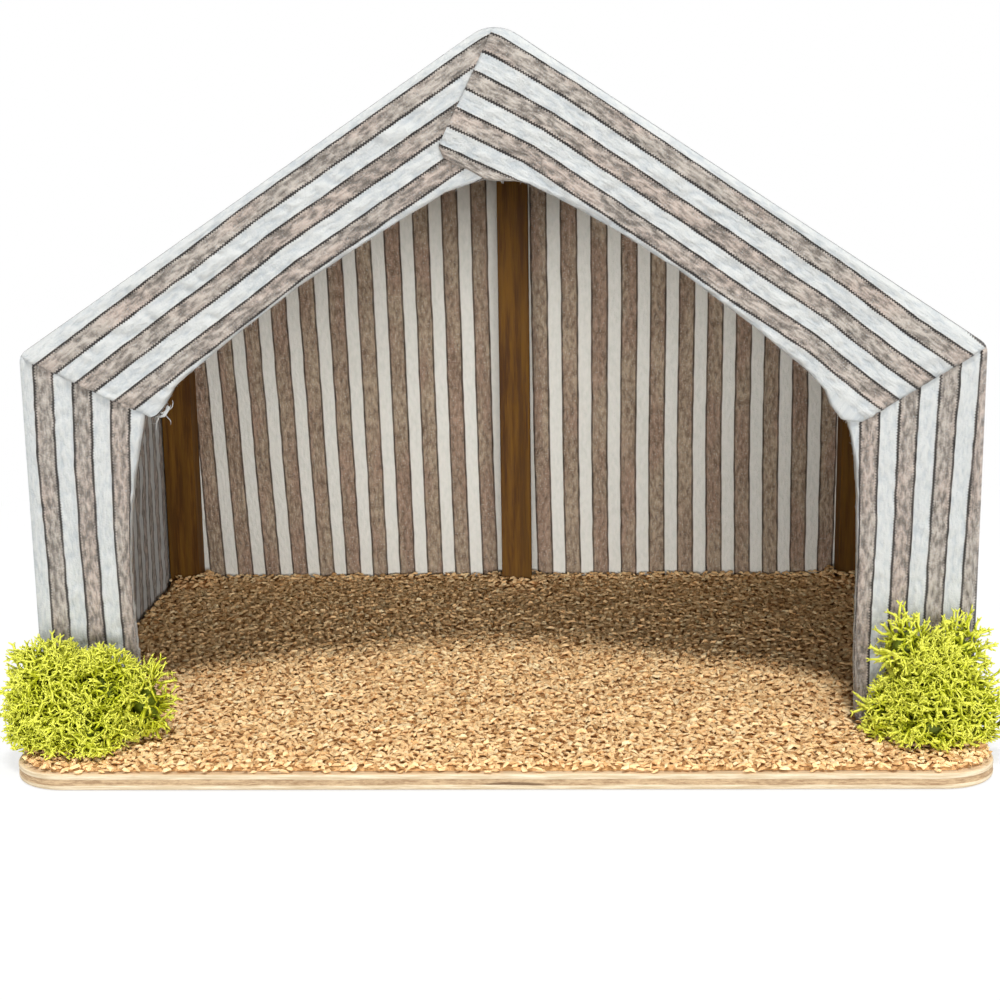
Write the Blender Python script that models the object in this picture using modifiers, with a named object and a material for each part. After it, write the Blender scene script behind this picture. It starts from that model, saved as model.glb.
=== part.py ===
"""A nativity tent: striped cloth over a stained timber frame, on a plywood board.

Metres. X runs to the right, Y from the open front to the back, and Z up.
The origin is the middle of the board's underside.
"""

import math
import random

import bmesh
import bpy
from mathutils import Matrix, Vector, noise

# Plywood board
BOARD_WIDTH = 0.300
BOARD_DEPTH = 0.250
BOARD_THICKNESS = 0.005
BOARD_CORNER_RADIUS = 0.018
BOARD_EDGE = 0.0004

# Clearance between pieces that touch
GAP = 0.0003

# Tent, over the outside of its cloth and above the board
SIDE_MARGIN = 0.0003
FRONT_MARGIN = 0.0415
REAR_MARGIN = 0.014
WALL_HEIGHT = 0.122
RIDGE_HEIGHT = 0.2207

# Cloth cover, folded in over the front and the back of the frame
CLOTH_THICKNESS = 0.001
LEFT_WALL_BAND = 0.0335
RIGHT_WALL_BAND = 0.038
FRONT_ROOF_BAND = 0.0325
REAR_BAND = 0.014
FOLD_RADIUS = 0.0015
RIDGE_RADIUS = 0.012
EAVE_RADIUS = 0.003
INNER_EAVE_RADIUS = 0.009
INNER_RIDGE_RADIUS = 0.030
HEM_RADIUS = 0.0015
HEM_DEPTH = 0.005

# How far the cover hangs in between the timbers that carry it
WALL_SLACK = 0.0008
ROOF_SLACK = 0.0013
RIPPLE = 0.35
RIPPLE_COUNT = 2

# Laps, where the front band is folded over itself at the ridge and the eaves
LAP_THICKNESS = 0.0011
LAP_ROOT = 0.0005
LAP_FADE = 0.030
RIDGE_LAP_START = 0.0043
RIDGE_LAP_REACH = 0.0340
RIDGE_LAP_RISE = 0.0115
RIDGE_LAP_TIP = 0.0035
RIDGE_LAP_FOOT = 0.005

# Timber frame
TIMBER = 0.0125
TIMBER_EDGE = 0.0004

# Wood litter glued to the board
LITTER_THICKNESS = 0.0024
LITTER_RELIEF = 0.0012
LITTER_LUMP = 0.006
LITTER_CELL = 0.0085
LITTER_INSET = 0.0006

# Moss clumps, glued to the litter against the front bands
LEFT_MOSS_SIZE = (0.045, 0.037, 0.0325)
RIGHT_MOSS_SIZE = (0.046, 0.027, 0.038)
LEFT_MOSS_OVERHANG = 0.002
RIGHT_MOSS_OVERHANG = 0.0055
MOSS_STAND_OFF = 0.45
MOSS_BELLY = 0.30
MOSS_TWIG_LENGTH = 0.0042
MOSS_TWIG_TAPER = 0.5
MOSS_LEAN = 0.55
MOSS_SHARE = 0.18
MOSS_LUMP = 0.012
MOSS_RELIEF = 0.30

ARC_STEPS = 4
FOLD_STEPS = 3
CORNER_STEPS = 8
WALL_STEPS = 3
ROOF_STEPS = 5
BODY_STEPS = 8

BOARD_TOP = BOARD_THICKNESS
HALF_TENT = BOARD_WIDTH / 2 - SIDE_MARGIN
TENT_FRONT = FRONT_MARGIN - BOARD_DEPTH / 2
TENT_REAR = BOARD_DEPTH / 2 - REAR_MARGIN
FOOT = BOARD_TOP + GAP
EAVE_Z = BOARD_TOP + WALL_HEIGHT
RIDGE_Z = BOARD_TOP + RIDGE_HEIGHT
ROOF_ANGLE = math.atan2(RIDGE_Z - EAVE_Z, HALF_TENT)
LINING = CLOTH_THICKNESS + GAP
FRAME_HALF = HALF_TENT - LINING
FRAME_FRONT = TENT_FRONT + LINING
PANEL_REAR = TENT_REAR - LINING
FRAME_REAR = PANEL_REAR - LINING
BAY_FRONT = FRAME_FRONT + TIMBER + GAP
BAY_REAR = FRAME_REAR - TIMBER - GAP
EAVE_HOLD = (TIMBER + LINING) / math.cos(ROOF_ANGLE)
LITTER_TOP = BOARD_TOP + GAP + LITTER_THICKNESS


def material(name, colour, roughness):
    """A Principled material of one colour."""
    made = bpy.data.materials.new(name)
    made.use_nodes = True
    shader = made.node_tree.nodes["Principled BSDF"]
    shader.inputs["Base Color"].default_value = (*colour, 1.0)
    shader.inputs["Roughness"].default_value = roughness
    shader.inputs["Metallic"].default_value = 0.0
    made.diffuse_color = (*colour, 1.0)
    return made


def add_part(name, shape, collection, finish):
    """One piece of the object: its origin is in the middle of its underside."""
    mesh = as_mesh(name, shape)
    low = Vector([min(vert.co[k] for vert in mesh.vertices) for k in range(3)])
    high = Vector([max(vert.co[k] for vert in mesh.vertices) for k in range(3)])
    seat = Vector(((low.x + high.x) / 2, (low.y + high.y) / 2, low.z))
    mesh.transform(Matrix.Translation(-seat))
    mesh.materials.append(finish)
    made = bpy.data.objects.new(name, mesh)
    made.location = seat
    collection.objects.link(made)
    return made


def as_mesh(name, shape):
    """The mesh of a bmesh, which is then freed."""
    mesh = bpy.data.meshes.new(name)
    shape.to_mesh(mesh)
    shape.free()
    return mesh


def box(low, high):
    """A bmesh cube between two corners."""
    shape = bmesh.new()
    bmesh.ops.create_cube(shape, size=1.0)
    low, high = Vector(low), Vector(high)
    bmesh.ops.scale(shape, vec=high - low, verts=shape.verts)
    bmesh.ops.translate(shape, vec=(low + high) / 2, verts=shape.verts)
    return shape


def cut_off(shape, point, normal):
    """Cuts away what lies on the normal's side of a plane, and closes the cut."""
    everything = [*shape.verts, *shape.edges, *shape.faces]
    cut = bmesh.ops.bisect_plane(
        shape, geom=everything, plane_co=point, plane_no=normal, clear_outer=True
    )
    rim = [item for item in cut["geom_cut"] if isinstance(item, bmesh.types.BMEdge)]
    bmesh.ops.contextual_create(shape, geom=rim)


def bevel(made, width, segments=1):
    """Breaks an object's sharp edges."""
    rounding = made.modifiers.new("edges", "BEVEL")
    rounding.width = width
    rounding.segments = segments
    rounding.limit_method = "ANGLE"
    rounding.angle_limit = math.radians(30)


def boolean(made, operation, tool):
    """Joins a tool object to an object, or cuts it away."""
    modifier = made.modifiers.new(tool.name, "BOOLEAN")
    modifier.operation = operation
    modifier.object = tool


def as_tool(name, shape, tools):
    """A hidden object that a Boolean uses."""
    tool = bpy.data.objects.new(name, as_mesh(name, shape))
    tools.objects.link(tool)
    tool.hide_render = True
    tool.display_type = "WIRE"
    return tool


def roof_z(x, depth=0.0):
    """Height of the plane that lies this deep under the roof's outer face, at x."""
    return RIDGE_Z - abs(x) * math.tan(ROOF_ANGLE) - depth / math.cos(ROOF_ANGLE)


def roof_normal(side):
    """Outward normal of the left (-1) or right (1) roof slope."""
    return Vector((side * math.sin(ROOF_ANGLE), 0, math.cos(ROOF_ANGLE)))


def on_band(side, along, across):
    """(x, z) this far down a roof slope from the ridge, and this far in from its face."""
    down = Vector((side * math.cos(ROOF_ANGLE), -math.sin(ROOF_ANGLE)))
    inward = Vector((-side * math.sin(ROOF_ANGLE), -math.cos(ROOF_ANGLE)))
    return Vector((0, RIDGE_Z)) + down * along + inward * across


def plate(width, depth, thickness, radius):
    """A flat board with round corners, standing on z = 0."""
    shape = box((-width / 2, -depth / 2, 0), (width / 2, depth / 2, thickness))
    uprights = [e for e in shape.edges if abs(e.verts[0].co.z - e.verts[1].co.z) > thickness / 2]
    bmesh.ops.bevel(
        shape, geom=uprights, offset=radius, segments=CORNER_STEPS, profile=0.5, affect="EDGES"
    )
    return shape


def make_board(parts, plywood):
    """The plywood board, with four round corners."""
    shape = plate(BOARD_WIDTH, BOARD_DEPTH, BOARD_THICKNESS, BOARD_CORNER_RADIUS)
    board = add_part("base_board", shape, parts, plywood)
    bevel(board, BOARD_EDGE)


def timber(name, shape, parts, stained):
    """A square timber with its edges broken."""
    bar = add_part(name, shape, parts, stained)
    bevel(bar, TIMBER_EDGE)


def make_corner_posts(parts, stained):
    """Four corner posts, cut on top to the slope of the rafters that they carry."""
    seat = LINING + TIMBER + GAP
    for side, side_name in ((-1, "left"), (1, "right")):
        xs = sorted((side * FRAME_HALF, side * (FRAME_HALF - TIMBER)))
        for front, end_name in ((FRAME_FRONT, "front"), (FRAME_REAR - TIMBER, "rear")):
            shape = box((xs[0], front, FOOT), (xs[1], front + TIMBER, RIDGE_Z))
            cut_off(shape, (0, 0, roof_z(0, seat)), roof_normal(side))
            timber(f"{end_name}_{side_name}_post", shape, parts, stained)


def make_centre_post(parts, stained):
    """The post in the middle of the back, cut to a point under the rafters."""
    seat = LINING + TIMBER + GAP
    shape = box((-TIMBER / 2, FRAME_REAR - TIMBER, FOOT), (TIMBER / 2, FRAME_REAR, RIDGE_Z))
    for side in (-1, 1):
        cut_off(shape, (0, 0, roof_z(0, seat)), roof_normal(side))
    timber("rear_centre_post", shape, parts, stained)


def make_rafters(parts, stained):
    """Front and rear pairs of rafters, flush with the posts and cut level at the ridge."""
    length = 2 * (BOARD_WIDTH + RIDGE_HEIGHT)
    for side, side_name in ((-1, "left"), (1, "right")):
        for front, end_name in ((FRAME_FRONT, "front"), (FRAME_REAR - TIMBER, "rear")):
            shape = box((-length / 2, front, -TIMBER), (length / 2, front + TIMBER, 0))
            turn = Matrix.Rotation(side * ROOF_ANGLE, 3, "Y")
            bmesh.ops.rotate(shape, matrix=turn, verts=shape.verts)
            bmesh.ops.translate(shape, vec=(0, 0, roof_z(0, LINING)), verts=shape.verts)
            cut_off(shape, (side * GAP / 2, 0, 0), (-side, 0, 0))
            cut_off(shape, (side * FRAME_HALF, 0, 0), (side, 0, 0))
            cut_off(shape, (0, 0, roof_z(TIMBER / 2, LINING)), (0, 0, 1))
            timber(f"{end_name}_{side_name}_rafter", shape, parts, stained)


def make_beams(parts, stained):
    """The ridge beam and the two eave beams, which run between the front and rear frames."""
    top = roof_z(TIMBER / 2, LINING)
    shape = box((-TIMBER / 2, BAY_FRONT, top - TIMBER), (TIMBER / 2, BAY_REAR, top))
    timber("ridge_beam", shape, parts, stained)
    for side, name in ((-1, "left_eave_beam"), (1, "right_eave_beam")):
        xs = sorted((side * FRAME_HALF, side * (FRAME_HALF - TIMBER)))
        bottom = roof_z(FRAME_HALF, LINING) - TIMBER
        shape = box((xs[0], BAY_FRONT, bottom), (xs[1], BAY_REAR, RIDGE_Z))
        cut_off(shape, (0, 0, roof_z(0, LINING)), roof_normal(side))
        timber(name, shape, parts, stained)


def spread(start, end, steps):
    """Evenly spaced points from start to end."""
    return [start.lerp(end, k / steps) for k in range(steps + 1)]


def arc(centre, radius, start, end):
    """Points on a circle between two angles, which are measured from straight up."""
    angles = [start + (end - start) * k / ARC_STEPS for k in range(ARC_STEPS + 1)]
    return [centre + radius * Vector((math.sin(a), math.cos(a))) for a in angles]


def half_outline(wall_inset, roof_inset, eave_radius, ridge_radius):
    """Half of the tent's outline from the front, from the right foot up to the ridge."""
    x = HALF_TENT - wall_inset
    eave = Vector((x, roof_z(x, roof_inset)))
    up_slope = Vector((-math.cos(ROOF_ANGLE), math.sin(ROOF_ANGLE)))
    eave_x = x - eave_radius
    eave_centre = Vector((eave_x, roof_z(eave_x, roof_inset + eave_radius)))
    ridge_centre = Vector((0, roof_z(0, roof_inset + ridge_radius)))
    eave_arc = arc(eave_centre, eave_radius, math.pi / 2, ROOF_ANGLE)
    ridge_arc = arc(ridge_centre, ridge_radius, ROOF_ANGLE, 0)
    wall = spread(Vector((x, FOOT)), eave - Vector((0, EAVE_HOLD)), WALL_STEPS)
    roof = spread(eave + up_slope * EAVE_HOLD, ridge_arc[0], ROOF_STEPS)
    return wall + eave_arc + roof[:-1] + ridge_arc


def half_slack():
    """How far each point of a half outline hangs in, halfway along the tent."""
    wall = Vector((-WALL_SLACK, 0))
    roof = Vector((-math.sin(ROOF_ANGLE), -math.cos(ROOF_ANGLE))) * ROOF_SLACK
    held = [Vector((0, 0))] * (ARC_STEPS + 1)
    on_wall = [wall * math.sin(math.pi * k / WALL_STEPS) for k in range(WALL_STEPS + 1)]
    on_roof = [roof * math.sin(math.pi * k / ROOF_STEPS) for k in range(ROOF_STEPS)]
    return on_wall + held + on_roof + held


def whole(right, left):
    """A whole outline, left foot to right foot, from a right half and a left half to mirror."""
    return [Vector((-p.x, p.y)) for p in left] + right[-2::-1]


def quarter_turn(radius):
    """(forward, sideways) points of a quarter circle that turns from forward to sideways."""
    angles = [math.pi / 2 * k / FOLD_STEPS for k in range(FOLD_STEPS + 1)]
    return [(radius * math.sin(a), radius * (1 - math.cos(a))) for a in angles]


def cover_section():
    """The cover's section from back to front: (y, inset, True where it is the rear band)."""
    turn = quarter_turn(FOLD_RADIUS)
    hem = quarter_turn(HEM_RADIUS)
    rows = [(TENT_REAR, REAR_BAND, True)]
    rows += [(TENT_REAR - FOLD_RADIUS + y, inset, True) for y, inset in reversed(turn)]
    step = (BAY_FRONT - BAY_REAR) / BODY_STEPS
    rows += [(BAY_REAR + step * k, 0, False) for k in range(BODY_STEPS + 1)]
    rows += [(TENT_FRONT + FOLD_RADIUS - y, inset, False) for y, inset in turn]
    hem_start = FRONT_ROOF_BAND - HEM_RADIUS
    rows += [(TENT_FRONT + y, hem_start + inset, False) for inset, y in hem]
    rows.append((TENT_FRONT + HEM_DEPTH, FRONT_ROOF_BAND, False))
    return rows


def hang(y):
    """Share of the slack at y: none over the front and rear frames, and rippled between them."""
    share = min(1, max(0, (y - BAY_FRONT) / (BAY_REAR - BAY_FRONT)))
    ripple = 1 + RIPPLE * math.sin(2 * math.pi * RIPPLE_COUNT * share)
    return math.sin(math.pi * share) * ripple


def cover_surface():
    """The cover's outer face: its section lofted from the outer to the inner outlines."""
    half = half_outline(0, 0, EAVE_RADIUS, RIDGE_RADIUS)
    outer = whole(half, half)
    inner_radii = (INNER_EAVE_RADIUS, INNER_RIDGE_RADIUS)
    left = half_outline(LEFT_WALL_BAND, FRONT_ROOF_BAND, *inner_radii)
    right = half_outline(RIGHT_WALL_BAND, FRONT_ROOF_BAND, *inner_radii)
    front = whole(right, left)
    half = half_outline(REAR_BAND, REAR_BAND, EAVE_RADIUS, RIDGE_RADIUS)
    rear = whole(half, half)
    slack = whole(half_slack(), half_slack())
    shape = bmesh.new()
    grid = []
    for y, inset, at_rear in cover_section():
        share = inset / (REAR_BAND if at_rear else FRONT_ROOF_BAND)
        ends = rear if at_rear else front
        row = [a.lerp(b, share) + s * hang(y) for a, b, s in zip(outer, ends, slack)]
        grid.append([shape.verts.new((p.x, y, p.y)) for p in row])
    for row, after in zip(grid, grid[1:]):
        for k in range(len(row) - 1):
            shape.faces.new((row[k], after[k], after[k + 1], row[k + 1]))
    return shape


def lap(name, outline, tools):
    """A folded lap on the front band: (point, lift) corners, where lift is how far it stands out."""
    shape = bmesh.new()
    back = [shape.verts.new((p.x, TENT_FRONT + LAP_ROOT, p.y)) for p, lift in outline]
    front = [shape.verts.new((p.x, TENT_FRONT - lift, p.y)) for p, lift in outline]
    shape.faces.new(back)
    shape.faces.new(reversed(front))
    for k in range(len(outline)):
        after = (k + 1) % len(outline)
        shape.faces.new((back[k], front[k], front[after], back[after]))
    bmesh.ops.recalc_face_normals(shape, faces=shape.faces)
    bmesh.ops.triangulate(shape, faces=shape.faces)
    return as_tool(name, shape, tools)


def ridge_lap(tools):
    """The right roof band's end, folded over the left one and left of the ridge."""
    sunk = -GAP
    hem = FRONT_ROOF_BAND - HEM_RADIUS
    corner = on_band(-1, RIDGE_LAP_REACH, FRONT_ROOF_BAND - RIDGE_LAP_RISE)
    inner_top = roof_z(0, FRONT_ROOF_BAND + INNER_RIDGE_RADIUS) + INNER_RIDGE_RADIUS
    outline = [
        (on_band(-1, RIDGE_LAP_START, RIDGE_LAP_START), LAP_THICKNESS),
        (corner, LAP_THICKNESS),
        (corner - Vector((0, RIDGE_LAP_TIP)), LAP_THICKNESS),
        (Vector((-RIDGE_LAP_FOOT, inner_top)), LAP_THICKNESS),
        (on_band(1, LAP_FADE, hem), sunk),
        (on_band(1, LAP_FADE, FOLD_RADIUS), sunk),
        (on_band(1, 2 * RIDGE_RADIUS, 2 * FOLD_RADIUS), sunk),
    ]
    return lap("ridge_lap", outline, tools)


def eave_lap(side, band, name, tools):
    """A roof band's lower end, folded over the wall band along the mitre."""
    sunk = -GAP
    roof_length = HALF_TENT / math.cos(ROOF_ANGLE)
    outer = Vector((side * (HALF_TENT - FOLD_RADIUS), EAVE_Z - FOLD_RADIUS))
    inner_x = HALF_TENT - band + HEM_RADIUS
    inner = Vector((side * inner_x, roof_z(inner_x, FRONT_ROOF_BAND - HEM_RADIUS)))
    outline = [
        (outer, LAP_THICKNESS),
        (inner, LAP_THICKNESS),
        (on_band(side, roof_length - 2 * LAP_FADE, FRONT_ROOF_BAND - HEM_RADIUS), sunk),
        (on_band(side, roof_length - 2 * LAP_FADE, FOLD_RADIUS), sunk),
    ]
    return lap(name, outline, tools)


def make_cover(parts, tools, cloth):
    """The cover: one cloth over both walls and both slopes, folded in at front and back."""
    cover = add_part("tent_cover", cover_surface(), parts, cloth)
    cover.data.shade_smooth()
    cover.data.set_sharp_from_angle(angle=math.radians(35))
    wall = cover.modifiers.new("thickness", "SOLIDIFY")
    wall.thickness = CLOTH_THICKNESS
    wall.offset = -1
    wall.use_even_offset = True
    boolean(cover, "UNION", ridge_lap(tools))
    boolean(cover, "UNION", eave_lap(-1, LEFT_WALL_BAND, "left_eave_lap", tools))
    boolean(cover, "UNION", eave_lap(1, RIGHT_WALL_BAND, "right_eave_lap", tools))


def prism(outline, low, high):
    """A bmesh solid over a flat outline of (x, y) points."""
    shape = bmesh.new()
    face = shape.faces.new([shape.verts.new((x, y, low)) for x, y in outline])
    grown = bmesh.ops.extrude_face_region(shape, geom=[face])
    moved = [item for item in grown["geom"] if isinstance(item, bmesh.types.BMVert)]
    bmesh.ops.translate(shape, vec=(0, 0, high - low), verts=moved)
    bmesh.ops.recalc_face_normals(shape, faces=shape.faces)
    return shape


def make_rear_panel(parts, cloth):
    """The cloth that closes the back, cut to the gable and held behind the rear posts."""
    inset = LINING + FOLD_RADIUS - CLOTH_THICKNESS
    corner = EAVE_RADIUS / 2
    x = HALF_TENT - inset
    flat = TIMBER / 2
    half = [
        (x, FOOT),
        (x, roof_z(x, inset) - corner),
        (x - corner, roof_z(x - corner, inset)),
        (flat, roof_z(flat, inset)),
    ]
    outline = half + [(-px, pz) for px, pz in reversed(half)]
    shape = prism(outline, 0, CLOTH_THICKNESS)
    upright = Matrix.Rotation(math.radians(90), 3, "X")
    bmesh.ops.rotate(shape, matrix=upright, verts=shape.verts)
    bmesh.ops.translate(shape, vec=(0, PANEL_REAR, 0), verts=shape.verts)
    add_part("rear_panel", shape, parts, cloth)


def litter_slab(width, front, rear):
    """A slab of litter over the board, with a lumpy top."""
    columns = max(2, round(width / LITTER_CELL))
    rows = max(2, round((rear - front) / LITTER_CELL))
    shape = bmesh.new()
    bmesh.ops.create_grid(shape, x_segments=columns, y_segments=rows, size=0.5)
    bmesh.ops.scale(shape, vec=(width, rear - front, 1), verts=shape.verts)
    bmesh.ops.translate(shape, vec=(0, (front + rear) / 2, 0), verts=shape.verts)
    for vert in shape.verts:
        lump = min(1, noise.noise(vert.co / LITTER_LUMP))
        vert.co.z = LITTER_TOP - LITTER_RELIEF * (1 - lump) / 2
    rim = [edge for edge in shape.edges if edge.is_boundary]
    grown = bmesh.ops.extrude_edge_only(shape, edges=rim)
    moved = [item for item in grown["geom"] if isinstance(item, bmesh.types.BMVert)]
    for vert in moved:
        vert.co.z = BOARD_TOP + GAP
    bottom = [edge for edge in shape.edges if edge.is_boundary]
    bmesh.ops.contextual_create(shape, geom=bottom)
    bmesh.ops.recalc_face_normals(shape, faces=shape.faces)
    bmesh.ops.triangulate(shape, faces=shape.faces)
    return shape


def litter_tools(tools):
    """What is cut from the litter: the feet of the cover's walls, bands and hems, and the posts."""
    low, high = 0, BOARD_TOP + 10 * LITTER_THICKNESS
    post = FRAME_HALF - TIMBER - GAP
    wall = HALF_TENT - LINING - WALL_SLACK * (1 + RIPPLE)
    hem_rear = TENT_FRONT + HEM_DEPTH + GAP
    sides = ((-1, LEFT_WALL_BAND, "left_feet_cut"), (1, RIGHT_WALL_BAND, "right_feet_cut"))
    made = []
    for side, band_width, name in sides:
        band = HALF_TENT - band_width - GAP
        outline = [
            (BOARD_WIDTH, TENT_FRONT - GAP),
            (band, TENT_FRONT - GAP),
            (band, hem_rear),
            (band + LINING + GAP, hem_rear),
            (band + LINING + GAP, FRAME_FRONT),
            (post, FRAME_FRONT),
            (post, BAY_FRONT),
            (wall, BAY_FRONT),
            (wall, BAY_REAR),
            (post, BAY_REAR),
            (post, TENT_REAR),
            (BOARD_WIDTH, TENT_REAR),
        ]
        shape = prism([(side * x, y) for x, y in outline], low, high)
        made.append(as_tool(name, shape, tools))
    reach = TIMBER / 2 + GAP
    shape = box((-reach, BAY_REAR, low), (reach, TENT_REAR, high))
    made.append(as_tool("centre_foot_cut", shape, tools))
    return made


def make_litter(parts, tools, wood_chips):
    """The litter in and before the tent, and the strip of it behind the tent."""
    width = BOARD_WIDTH - 2 * LITTER_INSET
    depth = BOARD_DEPTH - 2 * LITTER_INSET
    radius = BOARD_CORNER_RADIUS - LITTER_INSET
    shape = plate(width, depth, BOARD_TOP + 10 * LITTER_THICKNESS, radius)
    outline = as_tool("litter_outline", shape, tools)
    shape = litter_slab(BOARD_WIDTH, -BOARD_DEPTH / 2, FRAME_REAR)
    floor = add_part("ground_litter", shape, parts, wood_chips)
    shape = litter_slab(BOARD_WIDTH, TENT_REAR + GAP, BOARD_DEPTH / 2)
    strip = add_part("rear_litter", shape, parts, wood_chips)
    boolean(floor, "INTERSECT", outline)
    boolean(strip, "INTERSECT", outline)
    for tool in litter_tools(tools):
        boolean(floor, "DIFFERENCE", tool)


def moss_core(centre, size, floor, back):
    """A lumpy dome, flat where it lies on the litter and where it leans on the cloth."""
    shape = bmesh.new()
    bmesh.ops.create_icosphere(shape, subdivisions=4, radius=0.5)
    bmesh.ops.scale(shape, vec=size, verts=shape.verts)
    for vert in shape.verts:
        lump = noise.noise((vert.co + centre) / MOSS_LUMP)
        vert.co = vert.co * (1 + MOSS_RELIEF * lump) + centre
        vert.co.z = max(vert.co.z, floor)
        vert.co.y = min(vert.co.y, back)
    bmesh.ops.dissolve_limit(
        shape, angle_limit=math.radians(0.1), verts=shape.verts, edges=shape.edges
    )
    return shape


def grow(shape, faces, length, taper, rng, floor, back):
    """Draws faces out into tapered twigs, and returns their ends."""
    drawn = bmesh.ops.extrude_discrete_faces(shape, faces=faces)["faces"]
    for face in drawn:
        face.normal_update()
        middle = face.calc_center_median()
        lean = Vector([rng.uniform(-MOSS_LEAN, MOSS_LEAN) for _ in range(3)])
        way = (face.normal + lean).normalized()
        end = middle + way * length * rng.uniform(0.7, 1.2)
        end.z = max(end.z, floor)
        end.y = min(end.y, back)
        for vert in face.verts:
            vert.co = end + (vert.co - middle) * taper
    return drawn


def moss_clump(name, centre, size, seed, parts, lichen):
    """A clump of branching moss: a dome with forked twigs all over its free side."""
    rng = random.Random(seed)
    floor = LITTER_TOP + GAP
    back = TENT_FRONT - GAP
    core_size = Vector(size) - Vector((1, 1, 1)) * MOSS_TWIG_LENGTH * 3
    shape = moss_core(Vector(centre), core_size, floor, back)
    shape.normal_update()
    free = [
        face
        for face in shape.faces
        if len(face.verts) == 3
        and -0.25 < face.normal.z
        and face.normal.y < 0.35
        and face.calc_center_median().z > floor + MOSS_TWIG_LENGTH / 3
        and rng.random() < MOSS_SHARE
    ]
    low, far = floor + MOSS_TWIG_LENGTH / 4, back - MOSS_TWIG_LENGTH / 4
    stems = grow(shape, free, MOSS_TWIG_LENGTH, MOSS_TWIG_TAPER, rng, low, far)
    forks = []
    for stem in stems:
        sides = [f for e in stem.edges for f in e.link_faces if len(f.verts) == 4]
        forks += [stem, rng.choice(sides)]
    grow(shape, forks, MOSS_TWIG_LENGTH, MOSS_TWIG_TAPER, rng, low, far)
    add_part(name, shape, parts, lichen)


def make_moss(parts, lichen):
    """One clump in each front corner, resting against the cover's front bands."""
    clumps = (
        (-1, LEFT_MOSS_SIZE, LEFT_MOSS_OVERHANG, 4, "left_moss"),
        (1, RIGHT_MOSS_SIZE, RIGHT_MOSS_OVERHANG, 9, "right_moss"),
    )
    for side, size, overhang, seed, name in clumps:
        width, depth, height = size
        centre = (
            side * (BOARD_WIDTH / 2 + overhang - width / 2),
            TENT_FRONT - MOSS_STAND_OFF * depth,
            LITTER_TOP + MOSS_BELLY * height,
        )
        full = (width, 2 * depth * (1 - MOSS_STAND_OFF), 2 * height * (1 - MOSS_BELLY))
        moss_clump(name, centre, full, seed, parts, lichen)


def clear_scene():
    """Removes every object that the scene holds."""
    for old in list(bpy.data.objects):
        bpy.data.objects.remove(old)


def main():
    clear_scene()
    parts = bpy.data.collections.new("nativity_tent")
    tools = bpy.data.collections.new("boolean_tools")
    bpy.context.scene.collection.children.link(parts)
    bpy.context.scene.collection.children.link(tools)
    plywood = material("birch_plywood", (0.74, 0.60, 0.44), 0.7)
    stained = material("stained_timber", (0.085, 0.035, 0.010), 0.55)
    cloth = material("striped_cloth", (0.50, 0.45, 0.42), 0.95)
    wood_chips = material("wood_litter", (0.50, 0.30, 0.15), 0.95)
    lichen = material("lime_moss", (0.42, 0.50, 0.03), 0.8)
    make_board(parts, plywood)
    make_corner_posts(parts, stained)
    make_centre_post(parts, stained)
    make_rafters(parts, stained)
    make_beams(parts, stained)
    make_cover(parts, tools, cloth)
    make_rear_panel(parts, cloth)
    make_litter(parts, tools, wood_chips)
    make_moss(parts, lichen)
    frame = bpy.data.objects.new("tent_origin", None)
    parts.objects.link(frame)
    for piece in parts.objects:
        if piece is not frame:
            piece.parent = frame


main()
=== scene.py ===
"""The looks of the nativity tent: striped cloth, stained timber, plywood, wood litter and moss.

Sizes are in metres, in the frame of the CAD model. Weave coordinates are in millimetres.
"""

import math
import random

import bmesh
import bpy
import numpy as np
from mathutils import Matrix, Vector


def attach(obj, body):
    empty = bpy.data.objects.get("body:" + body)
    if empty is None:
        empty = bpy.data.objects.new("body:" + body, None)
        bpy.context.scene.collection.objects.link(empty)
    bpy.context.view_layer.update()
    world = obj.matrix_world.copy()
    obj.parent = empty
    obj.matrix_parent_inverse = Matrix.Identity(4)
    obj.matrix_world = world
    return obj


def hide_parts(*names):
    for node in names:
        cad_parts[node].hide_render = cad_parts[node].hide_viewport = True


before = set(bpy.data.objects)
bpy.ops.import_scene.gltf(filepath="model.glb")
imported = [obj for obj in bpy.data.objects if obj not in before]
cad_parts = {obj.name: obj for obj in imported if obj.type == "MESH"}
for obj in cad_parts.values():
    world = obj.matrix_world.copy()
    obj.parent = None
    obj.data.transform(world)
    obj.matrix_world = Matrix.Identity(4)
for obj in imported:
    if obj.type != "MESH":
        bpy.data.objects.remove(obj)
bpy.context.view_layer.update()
MM = 0.001

# Sizes shared with the CAD model
BOARD_WIDTH, BOARD_DEPTH, BOARD_TOP, CORNER_RADIUS = 0.300, 0.250, 0.005, 0.018
GAP = 0.0003
HALF_TENT = 0.1497
TENT_FRONT, TENT_REAR = -0.0835, 0.111
EAVE_Z, RIDGE_Z = 0.127, 0.2257
ROOF = math.atan2(RIDGE_Z - EAVE_Z, HALF_TENT)
COS, SIN = math.cos(ROOF), math.sin(ROOF)
FOOT = BOARD_TOP + GAP
CLOTH = 0.001
TIMBER = 0.0125
LINING = CLOTH + GAP
FRAME_HALF = HALF_TENT - LINING
BAY_FRONT = TENT_FRONT + LINING + TIMBER + GAP
BAY_REAR = TENT_REAR - 2 * LINING - TIMBER - GAP
LITTER_TOP = 0.0074
EAVE_RADIUS, RIDGE_RADIUS = 0.004, 0.012
REAR_BAND = 0.014


# Mesh helpers


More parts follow.
